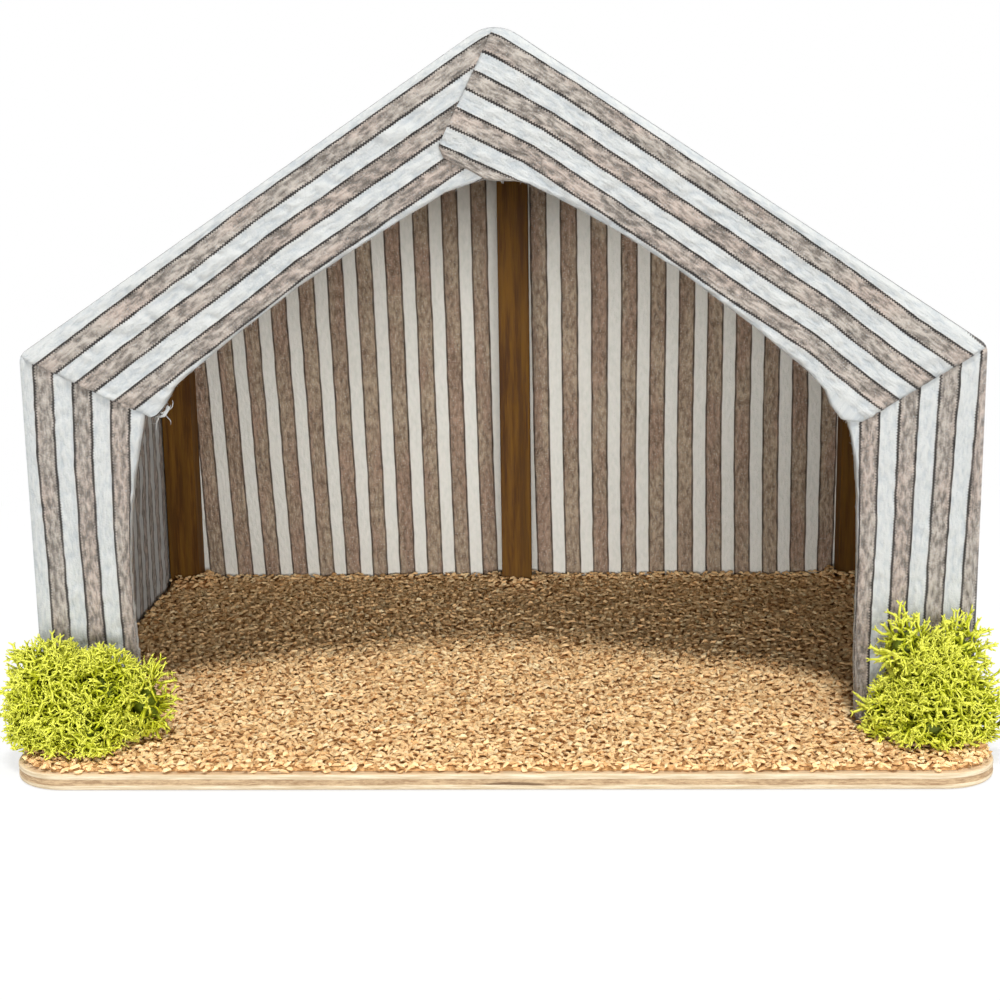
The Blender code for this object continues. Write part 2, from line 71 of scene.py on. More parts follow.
def noise(seed, x, y, z=0.0):
    """Smooth random values from -1 to 1 over a lattice of unit cells."""
    p = np.column_stack(np.broadcast_arrays(x, y, z))
    cell = np.floor(p).astype(np.int64)
    f = p - cell
    f = f * f * (3 - 2 * f)
    total = np.zeros(len(p))
    for corner in range(8):
        d = np.array([corner & 1, corner >> 1 & 1, corner >> 2 & 1])
        c = cell + d
        h = (c[:, 0] * 73856093) ^ (c[:, 1] * 19349663) ^ (c[:, 2] * 83492791) ^ (seed * 7919 + 11)
        h = (h ^ (h >> 13)) * 1274126177 & 0x7FFFFFFF
        h = (h ^ (h >> 16)) & 0xFFFF
        weight = np.prod(np.where(d == 1, f, 1 - f), axis=1)
        total += weight * (h / 32767.5 - 1)
    return total


def ramp(value, low, high):
    """0 below low, 1 above high, and smooth between."""
    t = np.clip((value - low) / (high - low), 0, 1)
    return t * t * (3 - 2 * t)


def link(name, mesh, material, smooth, values):
    """An object for a finished mesh; values are named point attributes."""
    for key, data in values.items():
        data = np.asarray(data, np.float32)
        kind = "FLOAT" if data.ndim == 1 else "FLOAT_VECTOR"
        made = mesh.attributes.new(key, kind, "POINT")
        made.data.foreach_set("value" if data.ndim == 1 else "vector", data.ravel())
    if smooth:
        mesh.shade_smooth()
    mesh.materials.append(material)
    made = bpy.data.objects.new(name, mesh)
    bpy.context.scene.collection.objects.link(made)
    return made


def new_object(name, verts, faces, material, smooth=True, **values):
    """A mesh object from vertices and faces."""
    mesh = bpy.data.meshes.new(name)
    mesh.from_pydata([tuple(v) for v in verts], [], faces)
    mesh.validate()
    return link(name, mesh, material, smooth, values)


def shape_object(name, shape, material, smooth=True, **values):
    """A mesh object from a bmesh."""
    mesh = bpy.data.meshes.new(name)
    shape.to_mesh(mesh)
    shape.free()
    return link(name, mesh, material, smooth, values)


def grid_faces(index):
    """Quads over a two-dimensional array of vertex numbers."""
    a, b = index[:-1, :-1], index[1:, :-1]
    c, d = index[1:, 1:], index[:-1, 1:]
    return np.stack([a, b, c, d], -1).reshape(-1, 4).tolist()


def tube_faces(start, rings):
    """Sides and ends of a three-sided tube whose first vertex has the number start."""
    faces = []
    for k in range(rings - 1):
        for side in range(3):
            a, b = start + 3 * k + side, start + 3 * k + (side + 1) % 3
            faces.append((a, b, b + 3, a + 3))
    end = start + 3 * (rings - 1)
    return faces + [(start + 2, start + 1, start), (end, end + 1, end + 2)]


def ring(centre, side, other, radius):
    """Three points round a centre."""
    turns = [math.tau * k / 3 for k in range(3)]
    return [centre + (side * math.cos(a) + other * math.sin(a)) * radius for a in turns]


def apply_modifiers(piece):
    """Bakes a piece's modifiers into its mesh."""
    evaluated = piece.evaluated_get(bpy.context.evaluated_depsgraph_get())
    mesh = bpy.data.meshes.new_from_object(evaluated)
    piece.modifiers.clear()
    piece.data = mesh


def settle(piece, slot, *nodes):
    """Puts a piece on the object, and hides the solids that it stands for; slot, the name of its finish,
    is not used.
    """
    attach(piece, "root")
    if nodes:
        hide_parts(*nodes)
    return piece


# Node helpers


class Nodes:
    """Writes the node tree of a new material or world as expressions."""

    def __init__(self, name, home=bpy.data.materials):
        self.owner = home.new(name)
        self.owner.use_nodes = True
        self.tree = self.owner.node_tree

    def give(self, socket, value):
        if isinstance(value, bpy.types.NodeSocket):
            self.tree.links.new(value, socket)
        else:
            socket.default_value = value

    def add(self, kind, *values, **named):
        """A node with its first inputs and its named inputs set."""
        node = self.tree.nodes.new("ShaderNode" + kind)
        for k, value in enumerate(values):
            self.give(node.inputs[k], value)
        for key, value in named.items():
            self.give(node.inputs[key.replace("_", " ")], value)
        return node

    def math(self, operation, *values):
        node = self.add("Math", *values)
        node.operation = operation
        return node.outputs[0]

    def plus(self, a, b):
        return self.math("ADD", a, b)

    def minus(self, a, b):
        return self.math("SUBTRACT", a, b)

    def times(self, a, b):
        return self.math("MULTIPLY", a, b)

    def centred(self, value, size):
        """A value from 0 to 1, as one from -size / 2 to size / 2."""
        return self.times(self.minus(value, 0.5), size)

    def weigh(self, *parts):
        """The sum of values times their weights."""
        total = self.times(*parts[0])
        for value, weight in parts[1:]:
            total = self.plus(total, self.times(value, weight))
        return total

    def attribute(self, name, output="Vector"):
        node = self.add("Attribute")
        node.attribute_name = name
        return node.outputs[output]

    def place(self):
        return self.add("TexCoord").outputs["Object"]

    def stretch(self, vector, scale, rotation=(0, 0, 0)):
        return self.add("Mapping", Vector=vector, Scale=scale, Rotation=rotation).outputs[0]

    def noise(self, vector, scale, detail=2.0, roughness=0.5):
        named = {"Vector": vector, "Scale": scale, "Detail": detail, "Roughness": roughness}
        return self.add("TexNoise", **named).outputs["Fac"]

    def map(self, value, low, high, new_low=0.0, new_high=1.0):
        """A value from low to high, brought smoothly to new_low to new_high."""
        node = self.add("MapRange", value, low, high, new_low, new_high)
        node.interpolation_type = "SMOOTHSTEP"
        return node.outputs[0]

    def mix(self, factor, *colours):
        node = self.add("Mix", factor)
        node.data_type = "RGBA"
        for k, colour in enumerate(colours, 6):
            self.give(node.inputs[k], (*colour, 1.0) if isinstance(colour, tuple) else colour)
        return node.outputs[2]

    def shade(self, value, low, high, dark, light):
        """From the screen colour dark to light, as value goes from low to high."""
        return self.mix(self.map(value, low, high), srgb(*dark), srgb(*light))

    def bump(self, height, distance, strength=1.0, **normal):
        return self.add("Bump", Height=height, Distance=distance, Strength=strength, **normal).outputs[0]

    def finish(self, colour, roughness, **named):
        """Sets the material's shader, and returns the material."""
        inputs = self.tree.nodes["Principled BSDF"].inputs
        for key, value in {"Base Color": colour, "Roughness": roughness, **named}.items():
            self.give(inputs[key.replace("_", " ")], value)
        return self.owner

    def seen_directly(self):
        """1 for what the camera sees, also in a mirror or through glass."""
        path = self.add("LightPath").outputs
        value = path["Is Camera Ray"]
        for name in ("Is Glossy Ray", "Is Transmission Ray"):
            value = self.math("MAXIMUM", value, path[name])
        return value

    def show(self, factor, shader, direct, output):
        """Sends a mix of a shader and a direct colour to the tree's output."""
        mixed = self.add("MixShader", factor, shader.outputs[0], direct.outputs[0])
        self.give(self.tree.nodes[output].inputs["Surface"], mixed.outputs[0])


def srgb(r, g, b):
    """A colour picked on screen, as the linear colour that shaders take."""
    return tuple(c / 12.92 if c <= 0.04045 else ((c + 0.055) / 1.055) ** 2.4 for c in (r, g, b))


# The cloth's yarns, in mm: half a zigzag of the edge thread, its place, and the weave's pitches
ZIGZAG, THREAD_INSET = 0.45, 0.36
WARP_PITCH, WEFT_PITCH = 0.52, 0.46


def cloth_material(name, widths, thread, contrast, flecks, colours):
    """Woven stripes. The weave attribute is (mm along the stripes, mm across them, crease depth); the
    crease depth paints shade into the creases and light on the puffs.
    """
    n = Nodes(name)
    taupe_width, white_width = widths
    light, dark, warm, white, white_shade = (srgb(*c) for c in colours)
    low, high = 0.49 - 0.16 / contrast, 0.49 + 0.16 / contrast
    t, q, crease_shade = n.add("SeparateXYZ", n.attribute("weave")).outputs

    def threads(along, across, seed, detail=2.0):
        place = n.add("CombineXYZ", n.times(t, along), n.times(q, across), seed).outputs[0]
        return n.noise(place, 1.0, detail)

    q = n.plus(q, n.centred(threads(0.09, 0.02, 0.0), 0.7))
    period = taupe_width + white_width
    r = n.times(n.math("FRACT", n.math("DIVIDE", q, period)), period)
    taupe = n.math("LESS_THAN", r, taupe_width)
    # A zigzag thread runs along each edge of a taupe stripe, bolder in some places
    at = n.plus(r, n.times(n.minus(n.math("PINGPONG", t, ZIGZAG), ZIGZAG / 2), 1.15))
    near = n.math("ABSOLUTE", n.minus(at, THREAD_INSET))
    far = n.math("ABSOLUTE", n.minus(at, taupe_width - THREAD_INSET))
    width = n.map(threads(0.16, 0.25, 5.0), 0.36, 0.64, *thread)
    line = n.map(n.math("MINIMUM", near, far), width, n.plus(width, 0.15), 1.0, 0.0)
    # Mottled yarn: fine threads, small scales and broad patches, with painted shade in the creases and
    # painted light on the puffs
    grain = n.times(n.plus(threads(1.2, 2.3, 1.0), threads(2.2, 1.1, 2.0)), 0.5)
    scales = threads(0.30, 0.72, 4.0, 1.0)
    patch = threads(0.045, 0.12, 3.0, 1.0)
    tone = n.plus(n.weigh((grain, 0.42), (scales, 0.58), (crease_shade, 0.075)), n.centred(patch, 0.16))
    zone = n.map(threads(0.03, 0.09, 6.0, 1.0), 0.40, 0.62)
    body = n.mix(n.map(tone, low, high), dark, n.mix(zone, light, warm))
    fleck = n.map(threads(1.5, 2.0, 7.0), 0.56, 0.72, 0.0, flecks)
    body = n.mix(fleck, body, white_shade)
    cream = n.mix(n.map(tone, low - 0.06, high - 0.02), white_shade, white)
    colour = n.mix(taupe, cream, body)
    colour = n.mix(n.times(line, 0.94), colour, srgb(0.13, 0.12, 0.12))
    # Small creases, shallower on the white stripes
    lumps = n.times(n.minus(scales, 0.5), n.plus(n.times(taupe, 0.7), 0.3))
    creases = n.bump(lumps, 0.0024, 0.8)
    # Plain weave and slubs
    over = n.math("SINE", n.times(t, math.tau / WARP_PITCH))
    under = n.math("SINE", n.times(q, math.tau / WEFT_PITCH))
    height = n.weigh((n.times(over, under), 0.20), (grain, 2.1))
    fixed = {"Sheen_Weight": 0.18, "Sheen_Roughness": 0.55, "Specular_IOR_Level": 0.18}
    return n.finish(colour, 0.93, Normal=n.bump(height, 0.0003, 0.7, Normal=creases), **fixed)


def wood_material(name, scale, rotation=(0, 0, 0)):
    """Brown-stained softwood; scale draws the grain out along the timber."""
    n = Nodes(name)
    p = n.stretch(n.place(), scale, rotation)
    bend = n.noise(p, 0.35, 1.0)
    rings = n.noise(p, 1.0, 4.0, 0.62)
    fine = n.noise(p, 4.5, 3.0, 0.7)
    grain = n.weigh((rings, 0.7), (fine, 0.3))
    colour = n.shade(grain, 0.36, 0.66, (0.29, 0.165, 0.02), (0.47, 0.32, 0.085))
    colour = n.mix(n.map(bend, 0.45, 0.7, 0.0, 0.5), colour, srgb(0.39, 0.265, 0.05))
    roughness = n.map(fine, 0.2, 0.8, 0.55, 0.75)
    return n.finish(colour, roughness, Normal=n.bump(grain, 0.0004, 0.5), Specular_IOR_Level=0.2)


def ply_material():
    """Three-ply birch: pale faces, a brown core, and grain on the sawn edge."""
    n = Nodes("birch_plywood_sanded")
    place = n.place()
    z = n.add("SeparateXYZ", place).outputs[2]
    wander = n.noise(n.stretch(place, (60, 60, 1)), 1.0, 2.0)
    level = n.plus(z, n.centred(wander, 0.0009))
    core = n.times(n.map(level, 0.00135, 0.0017), n.map(level, 0.0033, 0.0036, 1.0, 0.0))
    streak = n.noise(n.stretch(place, (90, 90, 1500)), 1.0, 4.0, 0.65)
    pore = n.noise(n.stretch(place, (420, 420, 1900)), 1.0, 3.0, 0.7)
    pale = n.shade(streak, 0.35, 0.7, (0.77, 0.69, 0.56), (0.885, 0.825, 0.715))
    mottle = n.weigh((streak, 0.5), (pore, 0.5))
    brown = n.shade(mottle, 0.36, 0.62, (0.58, 0.465, 0.34), (0.785, 0.675, 0.53))
    colour = n.mix(core, pale, brown)
    knot = n.map(n.noise(n.stretch(place, (26, 26, 300)), 1.0, 1.0), 0.70, 0.76)
    colour = n.mix(n.times(knot, n.times(core, 0.75)), colour, srgb(0.30, 0.20, 0.12))
    flat = n.noise(n.stretch(place, (14, 260, 1)), 1.0, 4.0, 0.6)
    veneer = n.shade(flat, 0.35, 0.68, (0.80, 0.69, 0.54), (0.90, 0.81, 0.67))
    under = n.map(z, 0.00018, 0.0003, 1.0, 0.0)
    over = n.map(z, 0.0047, 0.0049)
    colour = n.mix(n.math("MAXIMUM", under, over), colour, veneer)
    height = n.weigh((streak, 0.6), (pore, 0.4))
    return n.finish(colour, 0.72, Normal=n.bump(height, 0.00025, 0.6), Specular_IOR_Level=0.3)


def chip_material():
    """Tan wood chips; the tone attribute differs from chip to chip."""
    n = Nodes("wood_litter_chips")
    tone = n.attribute("tone", "Fac")
    speck = n.noise(n.place(), 1600, 2.0, 0.6)
    tone = n.plus(tone, n.centred(speck, 0.5))
    colour = n.shade(tone, 0.05, 0.5, (0.78, 0.60, 0.39), (0.99, 0.835, 0.615))
    colour = n.mix(n.map(tone, 0.5, 0.95), colour, srgb(1.0, 0.90, 0.71))
    return n.finish(colour, 0.86, Normal=n.bump(speck, 0.00012, 0.5), Specular_IOR_Level=0.2)


def bed_material():
    """The layer that shows between the chips: more litter, written darker than the chips as painted shade
    in the gaps.
    """
    n = Nodes("wood_litter_bed")
    lump = n.noise(n.place(), 700, 2.0, 0.65)
    colour = n.shade(lump, 0.35, 0.65, (0.58, 0.42, 0.25), (0.85, 0.67, 0.46))
    return n.finish(colour, 0.95, Normal=n.bump(lump, 0.0009, 0.8), Specular_IOR_Level=0.1)


def moss_material():
    """Lime-dyed branching moss; its tone attribute paints shade deep in the clump and light at the tips
    and higher up.
    """
    n = Nodes("lime_moss_branches")
    tone = n.attribute("tone", "Fac")
    vein = n.noise(n.place(), 420, 2.0, 0.6)
    value = n.plus(tone, n.centred(vein, 0.45))
    colour = n.shade(value, 0.0, 0.45, (0.36, 0.41, 0.03), (0.76, 0.78, 0.13))
    colour = n.mix(n.map(value, 0.45, 1.0), colour, srgb(0.90, 0.905, 0.36))
    return n.finish(colour, 0.62, Normal=n.bump(vein, 0.0002, 0.5), Specular_IOR_Level=0.3)


# Cloth


def poly_length(points):
    """Distance along a line of points, at each of them."""
    steps = np.linalg.norm(np.diff(points, axis=0), axis=1)
    return np.concatenate([[0], np.cumsum(steps)])


def resample(points, shares):
    """Points at shares, from 0 to 1, of a line's length."""
    points = np.asarray(points, float)
    length = poly_length(points)
    at = np.asarray(shares) * length[-1]
    return np.column_stack([np.interp(at, length, points[:, k]) for k in range(2)])


def tent_half(inset):
    """Right half of the outline at this inset: (wall and half the eave, roof up to the ridge)."""
    x = HALF_TENT - inset

    def roof_z(px, depth):
        return RIDGE_Z - px * math.tan(ROOF) - depth / COS

    eave = np.array([x - EAVE_RADIUS, roof_z(x - EAVE_RADIUS, inset + EAVE_RADIUS)])
    ridge = np.array([0, roof_z(0, inset + RIDGE_RADIUS)])
    turn = np.linspace(math.pi / 2, ROOF, 13)
    arc = eave + EAVE_RADIUS * np.column_stack([np.sin(turn), np.cos(turn)])
    top = np.linspace(ROOF, 0, 13)
    cap = ridge + RIDGE_RADIUS * np.column_stack([np.sin(top), np.cos(top)])
    wall = np.vstack([[x, FOOT], arc[:7]])
    roof = np.vstack([arc[6:], cap])
    return wall, roof


# Steps along the outline, and where it passes from a wall to a roof slope
NU_WALL, NU_ROOF = 118, 172
CUTS = [0, NU_WALL, NU_WALL + NU_ROOF, NU_WALL + 2 * NU_ROOF, 2 * (NU_WALL + NU_ROOF)]


def outline(inset):
    """The whole outline, left foot to right foot, as NU_WALL and NU_ROOF steps a side."""
    wall, roof = tent_half(inset)
    wall = resample(wall, np.linspace(0, 1, NU_WALL + 1))
    roof = resample(roof, np.linspace(0, 1, NU_ROOF + 1))
    right = np.vstack([wall[:-1], roof])
    left = right * [-1, 1]
    return np.vstack([left, right[-2::-1]])


def on_roof(side, along, across):
    """(x, z) this far (mm) down the roof from the ridge and in from its face."""
    return np.array([
        side * (along * COS - across * SIN) * MM,
        RIDGE_Z - (along * SIN + across * COS) * MM,
    ])


# The front bands: how far in from the fold the first stripe starts, and how the stripes spread, at
# places along the band. Roof bands count mm down from the ridge, and wall bands mm down from WALL_TOP.
WALL_TOP = BOARD_TOP / MM + 126
BANDS = {
    "left_wall": {
        "start": [8, 36, 65, 93],
        "first": [4.5, 3.9, 4.7, 5.1],
        "spread": [0.96, 0.99, 1.05, 1.03],
    },
    "left_roof": {
        "start": [0, 6, 90, 112, 150, 176],
        "first": [4.0, 2.3, 2.3, 3.2, 4.3, 5.2],
        "spread": [1.0, 1.01, 1.03, 1.02, 1.0, 0.985],
    },
    "right_roof": {
        "start": [0, 5, 30, 72, 105, 133, 155, 174],
        "first": [4.0, 2.8, 1.9, 2.3, 2.7, 3.4, 4.7, 4.8],
        "spread": [0.95, 0.95, 1.03, 1.04, 1.03, 1.05, 1.02, 0.98],
    },
    "right_wall": {
        "start": [8, 36, 65, 90],
        "first": [8.0, 9.2, 10.2, 10.9],
        "spread": [0.965, 1.0, 1.045, 1.04],
    },
}
# The bands' hems. Roof hems are (mm down from the ridge, mm in from the roof's face), and wall hems
# are (mm up from the board, mm in from the side).
HEMS = {
    "left_roof": [
        (21.2, 38.9), (28.6, 37.4), (32.7, 36.0), (36.5, 34.9), (40.8, 33.7), (46, 33.6), (58, 32.8),
        (72, 32.3), (94, 31.8), (116, 32.9), (138, 34.6), (144, 35.4), (148.6, 37.7), (153.7, 39.9),
        (156, 39.0), (158, 35.9),
    ],
    "right_roof": [
        (6.0, 40.2), (9.0, 42.3), (13.1, 42.0), (17.2, 41.3), (23.2, 40.9), (27.2, 38.9), (31.2, 36.3),
        (35, 34.9), (49, 33.4), (65, 32.2), (88, 32.0), (116, 33.9), (138, 36.4), (145.4, 38.3),
        (149.4, 41.2), (154.5, 43.0), (157.4, 42.0), (160.3, 40.4),
    ],
    "left_wall": [
        (0.2, 32.4), (21, 32.2), (38, 31.4), (54, 31.1), (70, 32.4), (83, 34.4), (95, 37.2),
        (103, 39.0), (107, 39.8),
    ],
    "right_wall": [
        (0.2, 36.4), (6, 37.4), (21, 38.1), (54, 38.0), (76, 38.6), (87, 39.6), (94, 40.9),
        (98, 42.0), (102, 42.3),
    ],
}
# Widths of the cover's stripes in mm
TAUPE, WHITE = 6.3, 5.3
# The front fold's radius, the hem's radius, and how far a lap stands out and is tucked back at its end
FOLD = 0.002
HEM = 0.0012
LAP = 0.00115
TUCK = 0.0006
# A roof band's folded ends, in mm down from the ridge at its face, and their slant further in
RIDGE_END, RIDGE_SLANT = 0.9, 0.108
EAVE_END, EAVE_SLANT = 179.3, {"left_roof": 20.8 / 35.3, "right_roof": 18.8 / 40.3}
# How far the walls, the roof and the broad waves hang in, in mm
WALL_SLACK, ROOF_SLACK, WAVE = 0.8, 1.25, 1.1


def band_frame(band, xz):
    """(along, across) in mm of front-plane points, in a band's own frame."""
    x, z = xz[:, 0] / MM, xz[:, 1] / MM
    side = -1 if band.startswith("left") else 1
    if band.endswith("wall"):
        return WALL_TOP - z, HALF_TENT / MM - side * x
    down = RIDGE_Z / MM - z
    return side * x * COS + down * SIN, -side * x * SIN + down * COS


def band_stripe(band, along, across):
    """Stripe coordinate in mm at points of a band."""
    b = BANDS[band]
    first = np.interp(along, b["start"], b["first"])
    q = (across - first) * np.interp(along, b["start"], b["spread"])
    # The last white stripe widens towards the right eave
    widens = (band == "right_roof") & (along > 140)
    return np.where(widens, np.minimum(q, 3 * (TAUPE + WHITE) - 0.5), q)


def hem_line(band):
    """The band's inner edge in the front plane, from the left foot towards the right foot."""
    side = -1 if band.startswith("left") else 1
    if band.endswith("wall"):
        line = [(side * (HALF_TENT - w * MM), BOARD_TOP + h * MM) for h, w in HEMS[band]]
    else:
        line = [on_roof(side, along, across) for along, across in HEMS[band]]
    return np.array(line if band in ("left_wall", "right_roof") else line[::-1])


def lap_edges(band, along, across):
    """Distances in mm from a roof band's folded ends: (at the ridge, at the eave)."""
    ridge = RIDGE_END + RIDGE_SLANT * across
    eave = EAVE_END - EAVE_SLANT[band] * across
    return along - ridge, eave - along


def lap_lift(band, along, across):
    """How far a roof band stands out where it is folded over its neighbour, less its tuck."""
    lift = np.zeros(len(along))
    if band.endswith("wall"):
        return lift
    deep = ramp(across, 0.6, 4.5)
    ridge, eave = lap_edges(band, along, across)
    laps = [(eave, 30)] + ([(ridge, 34)] if band == "right_roof" else [])
    for edge, far in laps:
        lift += (1 - ramp(edge, 4, far)) * deep * LAP
        lift -= (1 - ramp(edge, 0, 1.3)) * deep * TUCK
    return lift


def covered(band, xz):
    """1 where the neighbouring roof band lies over this one, else 0."""
    if band == "right_roof":
        return np.zeros(len(xz))
    over = "left_roof" if band == "left_wall" else "right_roof"
    ridge, eave = lap_edges(over, *band_frame(over, xz))
    return ramp(ridge if band == "left_roof" else eave, -1.5, 1.5)


def puckers(t, q, seed):
    """Small puffs of the cloth with creases between: (height in metres, crease depth from -1 to 1, which
    the cloth's colour uses to paint shade in the creases and light on the puffs).
    """
    slant = t + 0.5 * q
    puffs = np.sqrt(noise(seed, slant * 0.20, q * 0.34) ** 2 + 0.004)
    fine = noise(seed + 1, slant * 0.42, q * 0.62)
    broad = noise(seed + 2, slant * 0.05, q * 0.07)
    height = 1.45 * puffs + 0.26 * fine + 0.12 * broad
    return np.clip(height, 0.0, 1.3) * MM, np.clip((height - 0.48) * 1.9, -1, 1)


class Rows:
    """Gathers a cloth row by row: its vertices, their weave, and the faces between rows."""

    def __init__(self):
        self.verts, self.weave, self.faces, self.count = [], [], [], 0

    def add(self, x, y, z, along, across, dents_and_shade):
        """Adds a row and returns its vertex numbers; y may be one number."""
        self.verts.append(np.column_stack([x, np.broadcast_to(y, len(x)), z]))
        self.weave.append(np.column_stack([along, across, dents_and_shade]))
        self.count += len(x)
        return np.arange(self.count - len(x), self.count)

    def join(self, last, row):
        self.faces += grid_faces(np.vstack([last, row]))

    def build(self, name, material, thickness, offset):
        """The cloth as a closed sheet of this thickness."""
        weave = np.vstack(self.weave)
        piece = new_object(name, np.vstack(self.verts), self.faces, material, weave=weave)
        thick = piece.modifiers.new("cloth", "SOLIDIFY")
        thick.thickness = thickness
        thick.offset = offset
        apply_modifiers(piece)
        return piece


def fold_stripes(outer):
    """Stripe coordinate along the front fold, smoothed over the corners."""
    first = np.zeros(len(outer))
    for band, start, end in zip(BANDS, CUTS, CUTS[1:]):
        along, _ = band_frame(band, outer[start : end + 1])
        first[start : end + 1] = band_stripe(band, along, 0.0)
    kernel = np.hanning(31) / np.hanning(31).sum()
    return np.convolve(np.pad(first, 15, mode="edge"), kernel, mode="valid")


def cover_body(rows, outer, run, stripes, coarse):
    """Walls and roof, front to back, hung between the timbers; returns (front fold, last row)."""
    tangent = np.gradient(outer, axis=0)
    tangent /= np.linalg.norm(tangent, axis=1)[:, None]
    normal = np.column_stack([-tangent[:, 1], tangent[:, 0]])
    height = (outer[:, 1] - FOOT) / (EAVE_Z - FOOT)
    up_wall = np.sin(np.pi * np.clip(height / 0.9, 0, 1))
    on_wall = np.abs(normal[:, 0]) > 0.9
    down = np.clip(np.abs(outer[:, 0]) / (FRAME_HALF - TIMBER), 0, 1)
    down_roof = np.sin(np.pi * np.clip((down * 1.05 - 0.05), 0, 1))
    slack = np.where(on_wall, WALL_SLACK * up_wall, ROOF_SLACK * down_roof)
    slack = np.where(~on_wall & (down >= 1), 0, slack)
    between = np.linspace(TENT_FRONT + 0.005, TENT_REAR - 0.004, 70)
    fold = last = None
    for y in [TENT_FRONT + FOLD, *between, TENT_REAR - FOLD]:
        share = np.clip((y - BAY_FRONT) / (BAY_REAR - BAY_FRONT), 0, 1)
        hang = slack * MM * math.sin(math.pi * share) * (1 + 0.35 * math.sin(4 * math.pi * share))
        q = stripes - (y - TENT_FRONT) / MM
        wrinkle, dents_and_shade = puckers(run, q, 3)
        free = math.sin(math.pi * share) ** 0.5
        wave = noise(9, run * 0.034, y / MM * 0.055) * WAVE * np.where(on_wall, up_wall, 0.35)
        calm = 0.5 * ramp(y, TENT_FRONT + 0.006, TENT_FRONT + 0.035)
        push = wrinkle * calm - hang + np.minimum(wave, 0.25) * MM * free
        push[0] = push[-1] = 0.15 * MM
        xz = outer + normal * push[:, None]
        if fold is None:
            fold = rows.add(xz[:, 0], y, xz[:, 1], run, q, dents_and_shade)
            continue
        row = rows.add(xz[coarse, 0], y, xz[coarse, 1], run[coarse], q[coarse], dents_and_shade[coarse])
        if last is None:
            # The fold has twice as many vertices as the rows behind it
            for k in range(len(row) - 1):
                rows.faces.append([fold[2 * k + 2], fold[2 * k + 1], fold[2 * k], row[k], row[k + 1]])
        else:
            rows.join(last[::-1], row[::-1])
        last = row
    return fold, last


def rear_margin(rows, outer, run, stripes, coarse, last):
    """The cover's rear edge, folded in behind the rear panel."""
    rim, run, stripes = outer[coarse], run[coarse], stripes[coarse]
    into = outline(REAR_BAND)[coarse] - rim
    depth = np.linalg.norm(into, axis=1)
    into /= depth[:, None]
    turns = [(FOLD * (1 - math.cos(a)), FOLD * math.sin(a)) for a in (0.52, 1.05, 1.57)]
    lines = [(np.full(len(rim), d), TENT_REAR - FOLD + back, 0.3) for d, back in turns]
    lines += [(depth * share, TENT_REAR, 1.0) for share in np.linspace(0.22, 1.0, 7)]
    for d, y, relief in lines:
        q = stripes - (TENT_REAR - TENT_FRONT) / MM - d / MM
        xz = rim + into * d[:, None]
        bump, dents_and_shade = puckers(run, q, 3)
        row = rows.add(xz[:, 0], y + bump * relief, xz[:, 1], run, q, dents_and_shade)
        rows.join(last[::-1], row[::-1])
        last = row


def front_band(rows, band, outer, run, stripes, fold, seed):
    """A band of the front face: from the fold in to the hem, and the hem turned back."""
    hem = resample(hem_line(band), np.linspace(0, 1, len(outer)))
    into = hem - outer
    depth = np.linalg.norm(into, axis=1)
    into /= depth[:, None]
    # Each line is (distance in from the fold, distance behind the front, turned back or not)
    lines = []
    for a in (0.4, 0.8, 1.2, 1.57):
        lines.append((np.full(len(outer), FOLD * (1 - math.cos(a))), FOLD * (1 - math.sin(a)), False))
    for share in np.linspace(0.08, 1, 30):
        lines.append((depth * share - HEM * share, 0.0, False))
    for a in (0.5, 1.05, 1.57):
        lines.append((depth - HEM + HEM * math.sin(a), HEM * (1 - math.cos(a)), True))
    ragged = 0.8 * noise(40 + seed, run * 0.5, 0.0)
    for back in (1.2, 2.6, 3.8):
        lines.append((depth - 0.0002, HEM + (back + ragged * (back > 2)) * MM, True))
    last = fold
    for d, back, turned in lines:
        xz = outer + into * d[:, None]
        along, across = band_frame(band, xz)
        q = band_stripe(band, along, across + (np.asarray(back) / MM if turned else 0.0))
        if not turned:
            early = ramp(across, 0.0, 3.0)
            q = stripes * (1 - early) + q * early
        bump, dents_and_shade = puckers(along, q, 20 + seed)
        if band.endswith("wall"):
            bump, dents_and_shade = bump * 0.7, dents_and_shade * 0.5
        bump = bump * (1 - covered(band, xz))
        y = TENT_FRONT + back - lap_lift(band, along, across) - bump * ramp(across, 0.5, 2.6)
        row = rows.add(xz[:, 0], y, xz[:, 1], along, q, dents_and_shade)
        rows.join(last, row)
        last = row


def make_cover(material):
    """The cover: walls and roof, with its bands folded on to the front and the back."""
    outer = outline(0)
    run = poly_length(outer) / MM
    coarse = np.arange(0, len(outer), 2)
    stripes = fold_stripes(outer)
    rows = Rows()
    fold, last = cover_body(rows, outer, run, stripes, coarse)
    rear_margin(rows, outer, run, stripes, coarse, last)
    for seed, (band, start, end) in enumerate(zip(BANDS, CUTS, CUTS[1:])):
        part = slice(start, end + 1)
        front_band(rows, band, outer[part], run[part], stripes[part], fold[part], seed)
    return rows.build("cloth_cover", material, CLOTH, -1)


FUZZ_PITCH = 0.0011
# A scrap of the hem is turned back at the left inner corner, with one thread beside it, in mm
SCRAP = np.array([
    (-102.9, -83.5, 110.6), (-103.3, -83.9, 109.2), (-104.3, -84.4, 107.6), (-105.9, -84.1, 107.2),
])
SCRAP_STEP = np.array([-0.55, 0.5, 0.25])
SCRAP_THREAD = np.array([
    (-103.2, -83.6, 109.4), (-102.0, -83.9, 110.4), (-101.6, -84.0, 111.8), (-101.8, -83.8, 112.6),
])
# Where the frayed threads start
FRAY = np.array([-0.1060, TENT_FRONT - 0.0004, BOARD_TOP + 0.1026])


